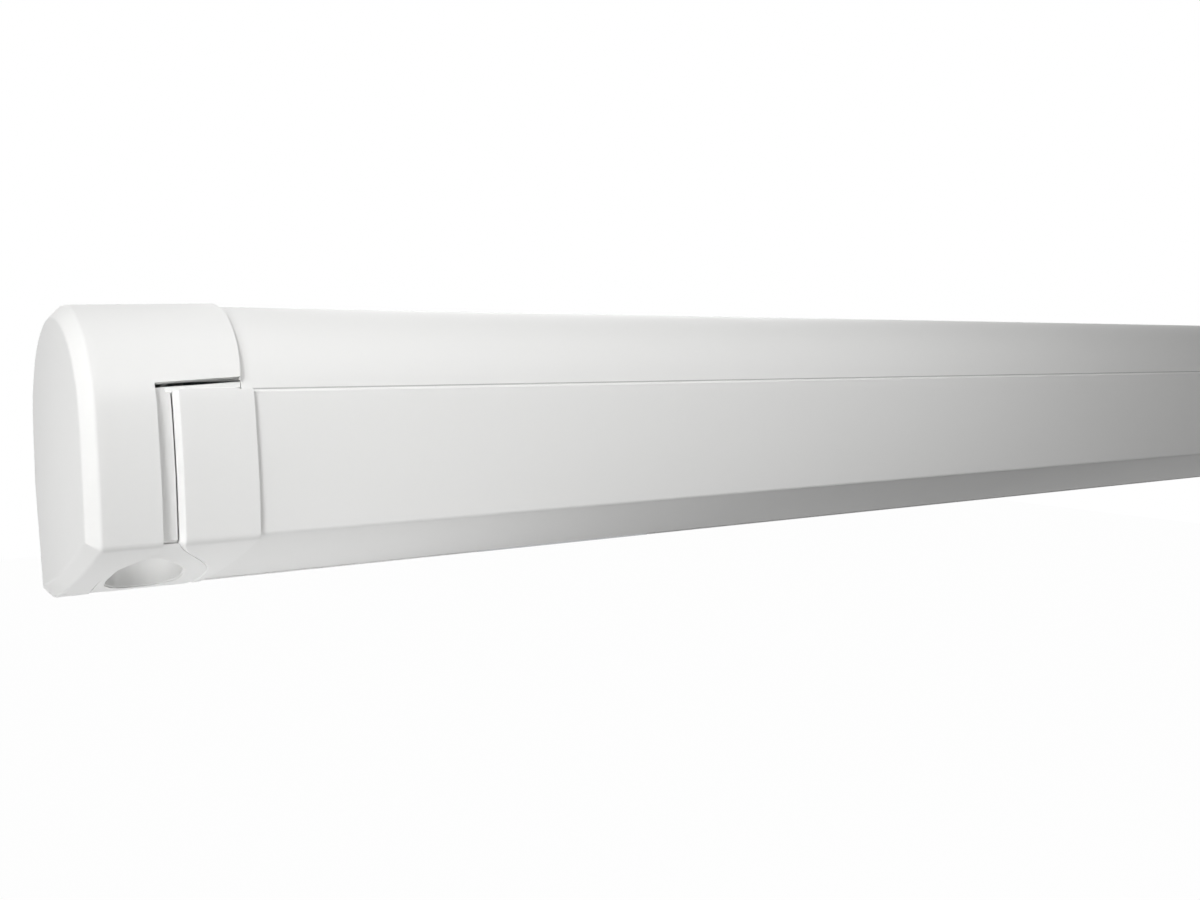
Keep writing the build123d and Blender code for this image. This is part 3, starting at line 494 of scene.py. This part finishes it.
def capDraft(x, s):
    # the cap is drawn in towards its end face, only where its skin faces up
    return capShape["draft"] * (1 - x / capShape["hood"]) * np.maximum(outlineNormal(case, s)[..., 1], 0)


def capSurface(withNotch):
    # the outside of a cap as a grid: each row is a step in X, and each column an arc length round the case
    shape = capShape
    hoodStart = frontAt(shape["hoodEdge"])
    hoodColumns = samples(case, 0, hoodStart, shape["step"])
    columns = np.r_[hoodColumns, samples(case, hoodStart, case["total"], shape["step"], bottomAt(legEdge[:, 1]))[1:-1]]
    depth = outlinePoint(case, columns)[:, 0]
    legEnd = np.full(len(columns), shape["leg"])
    if withNotch:
        below = (columns > creaseMark) & (columns < heelMark + shape["notchEnd"])
        legEnd = np.where(below, np.interp(depth, legEdge[:, 1], legEdge[:, 0]), legEnd)
    profile = softChamfer(shape["bevel"], shape["bevelSoft"])
    bevelX, bevelInset = (np.repeat(step[:, None], len(columns), axis=1) for step in profile.T)
    share = np.linspace(0, 1, shape["legRows"])[1:, None]
    legX = bevelX[-1] + share * (legEnd - bevelX[-1])
    x = np.vstack([bevelX, legX])
    inset = np.vstack([bevelInset, np.zeros_like(legX)]) + capDraft(x, columns[None, :])
    leg = onCase(x, columns[None, :], inset)
    rows, count = x.shape
    islands = [(leg, gridFaces(rows, count, True) + [list(range(count))[::-1]])]
    # the hood carries on from the leg's edge, and its end leans back by the square of the way down its front
    drop = caseShape["top"] - outlinePoint(case, hoodColumns)[:, 1]
    down = np.where(hoodColumns > topMark, np.clip(drop / (caseShape["top"] - shape["hoodEdge"]), 0, 1), 0)
    hoodEnd = shape["hood"] - shape["hoodLean"] * down**2
    x = shape["leg"] + np.linspace(0, 1, shape["hoodRows"])[:, None] * (hoodEnd - shape["leg"])
    s = hoodColumns / hoodStart * frontAt(hoodEdgeAt(x))
    islands.append((onCase(x, s, capDraft(x, s)), gridFaces(*x.shape)))
    return joinIslands(islands)


def makeCaseCaps():
    for side, withNotch in (("left", True), ("right", False)):
        points, faces = capSurface(withNotch)
        if side == "right":
            points, faces = mirrorPiece(points, faces)
        cap = addPiece(f"{side}CaseCap", points, faces, "cap_plastic", mergeWithin=0.01)
        roundEdges(thicken(cap, capShape["wall"]), capShape["edge"], segments=3)
        standFor(cap, "root", f"{side}_cassette_cap")


makeCaseCaps()
print("case caps ready")


shellShape = {
    "inset": 2.5, "topInset": 1.4, "wall": 1.8, "endX": 36.0, "edge": 55.65, "cornerX": 61.3, "cornerEdge": 60.5,
    "cornerSoft": 0.15, "crownFrom": 63.0, "lip": -20.5, "step": 2.0, "round": 0.12,
    "rows": (62.6, 64.6, 140, 320, 560, 760),
}


def makeCaseShell():
    # the case's skin from its front edge over the top and down to the heel; the front edge steps up under the hoods
    shape = shellShape
    start = bottomAt(shape["lip"]) - case["total"]
    lower = samples(case, start + case["total"], case["total"], shape["step"])[:-1] - case["total"]
    upper = samples(case, 0, frontAt(shape["edge"]), shape["step"])
    length = -2 * caseShape["endX"]
    cornerX, soft = shape["cornerX"], shape["cornerSoft"]
    steps = np.array([shape["endX"], cornerX - soft, cornerX + soft, *shape["rows"]])
    x = np.r_[steps, length / 2, length - steps[::-1]][:, None]
    fromEnd = np.minimum(x, length - x)
    edge = np.where(fromEnd < cornerX, frontAt(shape["cornerEdge"]), frontAt(shape["edge"]))
    share = np.clip((upper - topMark) / (upper[-1] - topMark), 0, 1)[None, :]
    s = np.hstack([np.repeat(lower[None, :], len(x), axis=0), upper[None, :] + share * (edge - upper[-1])])
    # the skin stands a little higher along the top than at its front edge and its back
    crown = np.cos(np.clip((s - topMark) / (upper[-1] - topMark), -1, 1) * pi / 2) ** 2
    inset = shape["inset"] - (shape["inset"] - shape["topInset"]) * crown * (fromEnd > shape["crownFrom"])
    shell = addPiece("caseShell", onCase(x, s, inset), gridFaces(*s.shape), "powder_coat")
    roundEdges(thicken(shell, shape["wall"]), shape["round"])
    standFor(shell, "root", "cassette_shell")


makeCaseShell()
print("case shell ready")


railShape = {
    "inset": 1.5, "wall": 2.0, "top": 55.3, "shelfReach": 84.0, "back": -21.6, "lipHeight": 10.0, "endGap": 36.4,
    "topRound": 1.1, "footRound": 0.9, "lowInset": 0.8, "notchGap": 0.9, "step": 1.2, "round": 0.35,
}
kederShape = {
    "y": -88.5, "z": 46.4, "inner": 2.9, "outer": 4.5, "slotHalf": 46.0, "tilt": -12.0, "web": 1.6, "webDip": 0.3,
    "webRise": 0.1, "round": 0.25,
}


def makeRailOutline():
    # shelf, front face, crease, underside and the small foot at the back, as one path along the outside
    shape = railShape
    start, end = frontAt(shape["top"]), bottomAt(shape["back"])
    s = samples(case, start, end, shape["step"])
    inset = np.interp(s, [creaseMark, heelMark], [shape["inset"], shape["lowInset"]])
    skin = outlinePoint(case, s, inset)
    shelf = lineStretch((-shape["shelfReach"], shape["top"]), (skin[0][0], shape["top"]))
    skin[0][1] = shape["top"]
    foot = lineStretch(skin[-1], (skin[-1][0], -caseShape["heelDrop"] + shape["lipHeight"]))
    return chainStretches([shelf, (skin, outlineNormal(case, s)), foot], [shape["topRound"], shape["footRound"]])


def makeLeadRail():
    # the outline carried along X, with its left end cut back beside the notch
    shape = railShape
    rail = makeRailOutline()
    s = rail["s"]
    across = outlinePoint(rail, s)
    notched = (across[:, 1] < 0) & (across[:, 0] > notchEdge[0, 1])
    edge = np.interp(across[:, 0], notchEdge[:, 1], notchEdge[:, 0]) + shape["notchGap"]
    start = np.where(notched, np.maximum(edge, shape["endGap"]), shape["endGap"])
    share = np.array([0, 0.003, 0.02, 0.1, 0.3, 0.5, 0.7, 0.9, 0.98, 1])[:, None]
    x = caseShape["endX"] + start + share * (-2 * caseShape["endX"] - shape["endGap"] - start)
    grid = np.concatenate([x[..., None], np.repeat(across[None], len(share), axis=0)], axis=-1)
    piece = addPiece("leadRail", grid, gridFaces(*x.shape), "powder_coat", mergeWithin=0.003)
    roundEdges(thicken(piece, shape["wall"]), shape["round"])
    standFor(piece, "lead_bar", "lead_rail")


def makeKederGroove():
    # a round channel, open to the back, hung from the shelf by a thin web
    shape = kederShape
    angle = np.radians(shape["tilt"] + np.linspace(shape["slotHalf"], 360 - shape["slotHalf"], 33))
    ring = np.column_stack([np.cos(angle), np.sin(angle)])
    centre = np.array([shape["y"], shape["z"]])
    channel = np.vstack([centre + shape["outer"] * ring, centre + shape["inner"] * ring[::-1]])
    low = shape["z"] + shape["outer"] - shape["webDip"]
    high = railShape["top"] - railShape["wall"] + shape["webRise"]
    left, right = shape["y"] - shape["web"] / 2, shape["y"] + shape["web"] / 2
    web = [(left, low), (right, low), (right, high), (left, high)]
    end = -caseShape["endX"] - railShape["endGap"]
    islands = [closedBar(channel, -end, end), closedBar(web, -end, end)]
    piece = addPiece("kederGroove", *joinIslands(islands), "powder_coat")
    roundEdges(piece, shape["round"])
    standFor(piece, "lead_bar")


makeLeadRail()
makeKederGroove()
print("lead rail ready")


# the left cap of the lead rail, with a wide bevel round its edge and the bell's notch in it
railCapShape = {
    "start": 33.9, "end": 65.2, "top": 56.2, "bevel": 2.0, "bevelSoft": 0.45, "skirt": 0.25, "wall": 1.3,
    "cornerRise": 1.0, "round": 0.25, "plateX": 34.8, "plateWall": 1.6, "plateBack": -86.5, "plateStep": 1.5,
    "plateInset": 2.4, "plateRound": 0.3,
}


def makeLeftRailCap():
    # the border is a path in X and arc length; the skin is bevelled along it, then runs straight to the right edge
    shape = railCapShape
    notch = np.column_stack([notchEdge[:, 0], bottomAt(notchEdge[:, 1])])
    slope = unit(np.gradient(notch, axis=0))
    start = shape["start"]
    side = lineStretch((start, frontAt(shape["top"])), (start, notch[0, 1] - shape["cornerRise"]))
    link = lineStretch(side[0][-1], notch[0])
    stretches = [(side[0], -side[1]), (link[0], -link[1]), (notch, np.column_stack([-slope[:, 1], slope[:, 0]]))]
    border = chainStretches(stretches, [0.0, 0.0], fanSteps=5)
    skirt = [0, shape["bevel"] + shape["bevelSoft"] + shape["skirt"]]
    rows, insets = [], []
    for inward, deep in np.vstack([skirt, softChamfer(shape["bevel"], shape["bevelSoft"])]):
        rows.append(outlinePoint(border, border["s"], inward))
        insets.append(np.full(len(border["s"]), deep))
    last = rows[-1]
    for share in np.linspace(0, 1, 9)[1:]:
        rows.append(np.column_stack([last[:, 0] + share * (shape["end"] - last[:, 0]), last[:, 1]]))
        insets.append(np.zeros(len(last)))
    rows, insets = np.array(rows), np.array(insets)
    s = np.maximum.accumulate(rows[..., 1], axis=1)
    grid = onCase(rows[..., 0], s, insets)
    cap = addPiece("leftRailCap", grid, gridFaces(*insets.shape), "cap_plastic", mergeWithin=0.01)
    roundEdges(thicken(cap, shape["wall"]), shape["round"])
    standFor(cap, "lead_bar", "left_rail_cap")


def makeLeftRailCapPlate():
    # the end plate that closes the front of the rail
    shape = railCapShape
    start, end = frontAt(railShape["top"]), bottomAt(shape["plateBack"])
    edge = outlinePoint(case, samples(case, start, end, shape["plateStep"]), shape["plateInset"])
    outline = np.vstack([edge, (shape["plateBack"], railShape["top"])])
    x = caseShape["endX"] + shape["plateX"]
    plate = addPiece("leftRailCapPlate", *closedBar(outline, x, x + shape["plateWall"]), "cap_plastic")
    roundEdges(plate, shape["plateRound"])
    standFor(plate, "lead_bar")


makeLeftRailCap()
makeLeftRailCapPlate()
softCopy("right_rail_cap", 0.4)
print("rail caps ready")


# the crank bell, an oval funnel that runs into a round bore, and the smooth surround that its rim lies in
bellShape = {
    "x": 33.5, "y": -59.0, "z": -21.0, "lean": 30.814, "bore": 12.0, "funnel": 18.0, "boreEnd": 30.0, "socket": 12.8,
    "end": 46.0, "wall": 1.6, "neckWall": 2.2, "collar": 0.8, "rimInset": 0.8, "belly": (0, 1.04, 13.0),
    "middle": (34.5, -55.0), "around": 120, "innerDrop": 0.75, "outerDrop": 2.0,
}
# the rounded rim, as steps out from the mouth and steps in from the skin
rimSteps = ((0.06, 0.4), (0.2, 0.14), (0.42, 0.02), (0.7, 0.02), (1.1, 0.1), (1.5, 0.35), (1.6, 0.8))
surroundShape = {
    "frontInset": 2.46, "frontFrom": -98.0, "backTo": -78.0, "legGap": 0.5, "bevelReach": 2.2, "lap": 0.1,
    "skin": 0.5, "round": 0.2, "mouthGap": 0.6, "rings": 9, "legBack": -16.5, "notchBack": -20.5,
    "backCorners": ((60.8, -16.5), (40.0, -16.0), (25.0, -16.2)),
    "frontCorners": ((27.9, -101.4), (31.0, -101.4), (34.1, -101.4)),
}
# the oval of the mouth, as X from the left end and Y
mouthEdge = smoothPath([(18.0, -66.0), (18.6, -76.0), (21.2, -83.0), (25.6, -86.6), (30.4, -85.6), (35.4, -81.4),
                        (41.0, -73.6), (46.0, -63.0), (49.2, -50.0), (50.0, -38.0), (47.8, -29.6), (42.2, -24.8),
                        (34.4, -23.8), (26.8, -28.0), (21.2, -38.0), (18.6, -51.0)], steps=6, closed=True)


def aroundBell(path, angle):
    # how far the closed path lies from the bell's middle in each direction
    middle = np.array(bellShape["middle"])
    away = np.asarray(path) - middle
    found = np.arctan2(away[:, 1], away[:, 0])
    order = np.argsort(found)
    found, reach = found[order], np.linalg.norm(away[order], axis=1)
    return np.interp(angle, found, reach, period=2 * pi)


def bellSkin(angle, reach, inset):
    # a point of the case's skin at this direction and distance from the bell's middle
    x = bellShape["middle"][0] + reach * np.cos(angle)
    y = bellShape["middle"][1] + reach * np.sin(angle)
    return onCase(x, bottomAt(y), inset)


def surroundInset(y):
    # even with the rim beside the mouth, and falling to the strip's depth at the front as 3 t squared - 2 t cubed
    shape, rim = surroundShape, bellShape["rimInset"]
    share = np.clip((shape["backTo"] - y) / (shape["backTo"] - shape["frontFrom"]), 0, 1)
    return rim + (shape["frontInset"] - rim) * share**2 * (3 - 2 * share)


def boreRing(angle, height, radius):
    # a circle about the worm shaft's axis, which leans back from the vertical
    shape = bellShape
    lean = radians(shape["lean"])
    x = caseShape["endX"] + shape["x"] + radius * np.cos(angle)
    y = shape["y"] + height * sin(lean) + radius * np.sin(angle) * cos(lean)
    z = shape["z"] + height * cos(lean) - radius * np.sin(angle) * sin(lean)
    return np.stack(np.broadcast_arrays(x, y, z), axis=-1)


def funnelRow(angle, rim, share, wall):
    # between the rim and the bore, starting out almost straight upwards
    shape = bellShape
    far = boreRing(angle, shape["funnel"], shape["bore"] + wall)
    return bendRow(rim, rim + np.array(shape["belly"]), far, share)


def mouthRays():
    # the directions round the bell's middle, the mouth's distance in each, and how far in from the skin its rim lies
    angle = np.linspace(0, 2 * pi, bellShape["around"] + 1)[:-1]
    reach = aroundBell(mouthEdge, angle)
    return angle, reach, surroundInset(bellShape["middle"][1] + reach * np.sin(angle))


def makeCrankBell():
    # one closed surface: down the bore and the funnel, round the rim, and back up outside
    shape = bellShape
    angle, reach, level = mouthRays()
    inner = bellSkin(angle, reach, level + shape["innerDrop"])
    outer = bellSkin(angle, reach + shape["wall"], level + shape["outerDrop"])
    rows = [boreRing(angle, shape["end"], shape["socket"]), boreRing(angle, shape["boreEnd"] + 0.15, shape["socket"]),
            boreRing(angle, shape["boreEnd"] - 0.1, shape["bore"])]
    rows += [funnelRow(angle, inner, share, 0) for share in np.linspace(1, 0, 13)]
    rows += [bellSkin(angle, reach + out, level + below) for out, below in rimSteps]
    rows += [funnelRow(angle, outer, share, shape["neckWall"]) for share in (0, 0.25, 0.5, 0.75, 1)]
    rows.append(boreRing(angle, shape["end"], shape["bore"] + shape["neckWall"] + shape["collar"]))
    count, width = len(rows), len(angle)
    row, column = np.arange(count)[:, None] * width, np.arange(width)[None, :]
    below, after = (row + width) % (count * width), (column + 1) % width
    quads = np.stack([row + column, below + column, below + after, row + after], axis=-1)
    bell = addPiece("crankBell", rows, quads.reshape(-1, 4).tolist(), "cap_plastic")
    standFor(bell, "root", "crank_bell")


def makeBellSurround():
    # from the rim out to the leg, to the bevel of the rail's cap and to the heel
    shape = surroundShape
    front, back = legEdge[legEdge[:, 1] < shape["legBack"]], notchEdge[notchEdge[:, 1] < shape["notchBack"]]
    lap = np.maximum(shape["bevelReach"] - surroundInset(back[:, 1]), -shape["lap"])
    border = np.vstack([front[::-1] + (shape["legGap"], 0), back + np.column_stack([lap, 0 * lap]),
                        shape["backCorners"], shape["frontCorners"]])
    # rays through the border's own points as well, so that the surround follows its edges closely
    offset = border - np.array(bellShape["middle"])
    rays = np.unique(np.round(np.r_[mouthRays()[0], np.arctan2(offset[:, 1], offset[:, 0]) % (2 * pi)], 3))
    near, far = aroundBell(mouthEdge, rays) + shape["mouthGap"], aroundBell(border, rays)
    away = near + np.linspace(0, 1, shape["rings"])[:, None] * (far - near)
    points = bellSkin(rays, away, surroundInset(bellShape["middle"][1] + away * np.sin(rays)))
    faces = [face[::-1] for face in gridFaces(*away.shape, True)]
    piece = addPiece("bellSurround", points, faces, "cap_plastic")
    standFor(roundEdges(thicken(piece, shape["skin"]), shape["round"]), "root")


# what is cut from the gear housing, and how its band follows the hood's lower edge
housingShape = {
    "roomInset": 1.0, "roomDrop": 8.0, "slotStart": 27.0, "slotEnd": 61.3, "slotAbove": 0.6, "slotBelow": 1.35,
    "slotInset": 1.6, "slotDepth": 6.5, "bandTop": (58.3, 58.5), "bandFront": -85.0, "bandStart": 33.0,
    "raiseFrom": 50.0, "raise": 1.3, "round": 0.25,
}


def makeHousingRoom():
    # the bell's space, and a slot of even width along the hood's lower edge, both facing outwards
    shape = housingShape
    angle, reach, level = mouthRays()
    outer = bellSkin(angle, reach + bellShape["wall"], level + shape["roomInset"])
    rows = [outer - (0, 0, shape["roomDrop"]), outer]
    rows += [funnelRow(angle, outer, share, bellShape["neckWall"]) for share in (0.3, 0.6, 1)]
    count = len(angle)
    faces = [face[::-1] for face in gridFaces(len(rows), count, True)]
    faces += [list(range(count)), list(range((len(rows) - 1) * count, len(rows) * count))[::-1]]
    x = np.linspace(shape["slotStart"], shape["slotEnd"], 9)
    high, low = hoodEdgeAt(x) + shape["slotAbove"], hoodEdgeAt(x) - shape["slotBelow"]
    skin, deep = shape["slotInset"], shape["slotDepth"]
    slot = np.stack([onCase(x, frontAt(height), inset)
                     for height, inset in ((high, skin), (high, deep), (low, deep), (low, skin))], axis=1)
    slotFaces = gridFaces(len(x), 4, True) + [[3, 2, 1, 0], list(range(4 * len(x) - 4, 4 * len(x)))]
    room = addPiece("housingRoom", *joinIslands([(np.array(rows), faces), (slot, slotFaces)]), "cap_plastic")
    work = bmesh.new()
    work.from_mesh(room.data)
    bmesh.ops.recalc_face_normals(work, faces=work.faces)
    work.to_mesh(room.data)
    work.free()
    return room


def makeGearHousing():
    # the housing's own mesh, its band raised along with the hood's edge, less the room
    shape = housingShape
    room = makeHousingRoom()
    housing = softCopy("gear_housing", shape["round"])
    housing.modifiers.clear()
    places = np.array([point.co for point in housing.data.vertices], np.float32)
    x, y, z = (places / mm - (caseShape["endX"], 0, 0)).T
    bottom, top = shape["bandTop"]
    band = (z > bottom) & (z < top) & (y < shape["bandFront"]) & (x > shape["bandStart"])
    places[band, 2] += (x[band] > shape["raiseFrom"]) * shape["raise"] * mm
    housing.data.vertices.foreach_set("co", places.ravel())
    cut = housing.modifiers.new("room", "BOOLEAN")
    cut.operation, cut.object, cut.solver = "DIFFERENCE", room, "EXACT"
    whole = bpy.data.meshes.new_from_object(housing.evaluated_get(bpy.context.evaluated_depsgraph_get()))
    housing.modifiers.remove(cut)
    housing.data = whole
    bpy.data.objects.remove(room)
    whole.shade_smooth()
    roundEdges(housing, shape["round"])


makeCrankBell()
makeBellSurround()
makeGearHousing()
print("crank bell ready")


seamShape = {"from": 31.5, "to": 60.9, "top": 57.6, "bottom": 55.62, "inset": 2.47, "wall": 0.8}


def makeSeamStrips():
    # on each side, the strip that closes the line between the hood's band and the rail's cap
    shape = seamShape
    x = np.linspace(shape["from"], shape["to"], 12)[:, None]
    s = np.linspace(frontAt(shape["top"]), frontAt(shape["bottom"]), 5)[None, :]
    points = onCase(x, s, shape["inset"])
    for side in ("left", "right"):
        grid, faces = points, gridFaces(*points.shape[:2])
        if side == "right":
            grid, faces = mirrorPiece(grid, faces)
        strip = addPiece(f"{side}SeamStrip", grid, faces, "housing_plastic")
        standFor(thicken(strip, shape["wall"]), "root")


makeSeamStrips()
print("seam strips ready")


# castings, tubes and mouldings keep their nodes' own shapes, with edges rounded by these millimetres
softEdges = {
    "idler_housing": 0.5, "centre_wall_bracket": 0.4, "leg_clips": 0.3, "roller_drive_plug": 0.5,
    "roller_idler_plug": 0.5, "worm_wheel": 0.25, "worm_shaft": 0.2, "idler_bush": 0.3, "rail_cap_screws": 0.25,
    "cassette_cap_screws": 0.2, "front_lip_seal": 0.2,
}
pairEdges = {
    "wall_bracket": 0.4, "shoulder_bracket": 0.7, "wrist_bracket": 0.7, "upper_arm": 0.3, "forearm": 0.3,
    "shoulder_eye": 0.7, "elbow_fork": 0.7, "elbow_tongue": 0.7, "wrist_eye": 0.7, "shoulder_pin": 0.4,
    "elbow_pin": 0.4, "wrist_pin": 0.4, "leg_outer_tube": 0.25, "leg_inner_tube": 0.25, "leg_knuckle": 0.6,
    "leg_foot": 0.5,
}
for side in ("left", "right"):
    softEdges.update({f"{side}_{node}": width for node, width in pairEdges.items()})
for node, width in softEdges.items():
    softCopy(node, width)
print("castings and tubes ready", len(softEdges))


# the cloth on the roll
rollShape = {
    "y": -44.0, "z": 51.0, "outer": 28.5, "inner": 24.65, "turns": 8, "turnSteps": 64, "thickness": 0.46,
    "halfWidth": 875.0, "rows": 15,
}
# the cloth between roll and rail: its slope in degrees, and distances from the cord's middle along it
stripShape = {
    "slope": -34.6, "tangent": 34.0, "lap": 0.2, "hemStart": 2.6, "hemEnd": 17.9, "hemLap": 0.6, "panelStart": 16.0,
    "thickness": 0.5, "hemThickness": 1.25, "travel": 1418.6, "steps": 41, "hemSteps": 25,
}


# the cord's middle, and the directions along the free cloth towards the roll and square to it
keder = np.array([kederShape["y"], kederShape["z"]])
along = np.array([cos(radians(stripShape["slope"])), sin(radians(stripShape["slope"]))])
under = np.array([along[1], -along[0]])
clothX = np.linspace(-rollShape["halfWidth"], rollShape["halfWidth"], rollShape["rows"])


def addClothMap(piece, u, v):
    # the cloth's own map in metres: u across the awning and v along the cloth
    layer = piece.data.uv_layers.new(name="clothMap")
    corner = [loop.vertex_index for loop in piece.data.loops]
    both = np.column_stack([np.ravel(u), np.ravel(v)])[corner]
    layer.data.foreach_set("uv", both.astype(np.float32).ravel())


def thinSheet(name, middle, normal, v, thickness):
    # a closed sheet: a line in the section, moved half the thickness to each side along its normals, carried along X
    count, rows, half = len(middle), len(clothX), thickness / 2
    loop = np.vstack([middle + half * normal, middle[::-1] - half * normal[::-1]])
    across = np.repeat(clothX[:, None], 2 * count, axis=1)
    grid = np.concatenate([across[..., None], np.repeat(loop[None], rows, axis=0)], axis=-1)
    faces = gridFaces(rows, 2 * count, True)
    strip = np.arange(count - 1)
    near = np.column_stack([strip, 2 * count - 1 - strip, 2 * count - 2 - strip, strip + 1])
    faces += near.tolist() + (near[:, ::-1] + (rows - 1) * 2 * count).tolist()
    piece = addPiece(name, grid, faces, "awning_cloth")
    addClothMap(piece, across * mm, np.tile(np.r_[v, v[::-1]], (rows, 1)))
    return piece


def makeWinding():
    # a spiral whose radius falls evenly with the angle
    roll = rollShape
    axis = np.array([roll["y"], roll["z"]])
    touch = keder + stripShape["tangent"] * along - axis
    turn = np.linspace(0, 2 * pi * roll["turns"], roll["turns"] * roll["turnSteps"] + 1)
    angle = atan2(touch[1], touch[0]) + turn
    radius = roll["outer"] - roll["thickness"] / 2 - (roll["outer"] - roll["inner"]) * turn / turn[-1]
    normal = np.column_stack([np.cos(angle), np.sin(angle)])
    length = np.r_[0, np.cumsum((radius[1:] + radius[:-1]) / 2 * np.diff(turn))] * mm
    piece = thinSheet("clothWinding", axis + radius[:, None] * normal, normal, length, roll["thickness"])
    standFor(piece, "roller", "cloth_roll")


def makeFreeCloth():
    # a flat strip, whose rows are closer where the pull moves them most, so that they spread evenly when it is out
    strip = stripShape
    even, fine = np.linspace(0, 1, strip["steps"]), np.linspace(0, 1, 2001)
    place = np.interp(even, fine * fine * (3 - 2 * fine), fine)
    start, end = strip["tangent"] - strip["lap"], strip["hemEnd"]
    reach = np.r_[start - place * (start - end), end - strip["hemLap"], strip["panelStart"]][::-1]
    out = (1 - np.r_[even, 1, 1][::-1]) * strip["travel"] * mm + (start - reach) * mm
    middle = keder + reach[:, None] * along
    piece = thinSheet("freeCloth", middle, np.tile(under, (len(reach), 1)), -out, strip["thickness"])
    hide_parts("cloth_panel")
    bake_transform(piece)


def makeHem():
    # cloth sewn round the cord; its thickness is 0.72 at both edges, plus 0.28 times the root of a sine between them
    strip = stripShape
    reach = np.linspace(strip["hemStart"], strip["hemEnd"], strip["hemSteps"])
    swell = 0.72 + 0.28 * np.sin(pi * np.clip((reach - reach[0]) / (reach[-1] - reach[0]), 0, 1)) ** 0.5
    thick = (strip["hemThickness"] * swell)[:, None]
    piece = thinSheet("clothHem", keder + reach[:, None] * along, under * thick, reach * mm, 1.0)
    standFor(piece, "cloth_edge", "cloth_hem")


makeWinding()
makeFreeCloth()
makeHem()
print("cloth ready")

# every node that still shows its own mesh gets the detailed finish
for node, thing in frame["nodes"].items():
    thing.data.materials.clear()
    thing.data.materials.append(finishes[slotOf[node]])


stageShape = {"floor": -1.1, "size": 14, "white": 0.985, "fill": 0.1}


def joinBackdrop(owner, matt, white, whiteness, output):
    # the white shader for the camera, gloss and glass, as far as the whiteness says, and else the matt one
    rays = addNode(owner, "ShaderNodeLightPath")
    either = addNode(owner, "ShaderNodeMath", operation="MAXIMUM")
    seen = addNode(owner, "ShaderNodeMath", operation="MAXIMUM")
    share = addNode(owner, "ShaderNodeMath", {1: whiteness}, operation="MULTIPLY")
    blend = addNode(owner, "ShaderNodeMixShader")
    joinNodes(
        owner,
        (rays, "Is Camera Ray", either, 0), (rays, "Is Glossy Ray", either, 1), (either, 0, seen, 0),
        (rays, "Is Transmission Ray", seen, 1), (seen, 0, share, 0), (share, 0, blend, "Fac"), (matt, 0, blend, 1),
        (white, 0, blend, 2), (blend, "Shader", owner.node_tree.nodes[output], "Surface"),
    )


def makeStage():
    # a white floor that keeps a little of the object's shadow
    shape = stageShape
    bpy.ops.mesh.primitive_plane_add(size=shape["size"], location=(0, 0, shape["floor"]))
    floor = bpy.context.object
    floor.name = "studioFloor"
    material, shader = startMaterial("studioFloor", {"Base Color": (0.82, 0.82, 0.82, 1), "Roughness": 0.9})
    glow = addNode(material, "ShaderNodeEmission", {"Color": (1, 1, 1, 1), "Strength": 1.0})
    joinBackdrop(material, shader, glow, shape["white"], "Material Output")
    floor.data.materials.append(material)


def makeWorld():
    # white to the eye, and a soft fill on matt surfaces
    world = bpy.data.worlds.new("studioWorld")
    scene.world = world
    world.use_nodes = True
    fill = world.node_tree.nodes["Background"]
    fill.inputs["Color"].default_value = (1, 1, 1, 1)
    fill.inputs["Strength"].default_value = stageShape["fill"]
    white = addNode(world, "ShaderNodeBackground", {"Color": (1, 1, 1, 1), "Strength": 1.0})
    joinBackdrop(world, fill, white, 1.0, "World Output")


# each lamp's place, what it points at, its size in metres, its power in watts and its spread in degrees
lamps = {
    "keyLamp": ((-0.8, -0.75, 0.62), (-0.67, -0.05, 0.04), 0.4, 0.82, 72),
    "leftLamp": ((-1.45, -0.4, 0.22), (-0.85, -0.06, 0.03), 0.14, 0.09, 50),
    "highLamp": ((-1.35, -0.45, 0.5), (-0.85, -0.06, 0.03), 0.14, 0.18, 50),
    "farLamp": ((-0.35, -0.65, 0.55), (-0.4, -0.05, 0.05), 0.25, 0.06, 60),
    "rightLamp": ((1.1, -1.9, 0.9), (0.9, -0.7, 0.0), 0.8, 3.5, 60),
    "backLamp": ((0.3, 1.3, 0.6), (0.0, 0.0, 0.0), 1.2, 12.0, 160),
    "lowLamp": ((-0.98, -0.2, -0.3), (-0.8, -0.05, -0.02), 0.12, 0.13, 80),
    "sideLamp": ((-1.35, -0.1, -0.25), (-0.95, -0.06, 0.0), 0.2, 0.053, 40),
}


def makeLamps():
    for name, (place, aim, size, power, spread) in lamps.items():
        light = bpy.data.lights.new(name, "AREA")
        light.energy = power
        light.size = size
        light.spread = radians(spread)
        lamp = bpy.data.objects.new(name, light)
        scene.collection.objects.link(lamp)
        lamp.location = place
        away = np.array(aim) - np.array(place)
        tilt, turn = acos(-away[2] / np.linalg.norm(away)), atan2(away[1], away[0]) - pi / 2
        lamp.rotation_euler = (tilt, 0, turn)


cameraShape = {
    "lens": 37.5, "sensor": 36.0, "near": 0.01, "place": (-1.0517, -0.5874, 0.0718), "turn": (85.38, 0, -34.4),
}


def makeCamera():
    shape = cameraShape
    lens = bpy.data.cameras.new("photoView")
    lens.lens = shape["lens"]
    lens.sensor_width = shape["sensor"]
    lens.clip_start = shape["near"]
    camera = bpy.data.objects.new("photoView", lens)
    scene.collection.objects.link(camera)
    camera.location = shape["place"]
    camera.rotation_euler = [radians(angle) for angle in shape["turn"]]
    scene.camera = camera


makeStage()
makeWorld()
makeLamps()
makeCamera()
scene.view_settings.view_transform = "Standard"
print("stage ready")
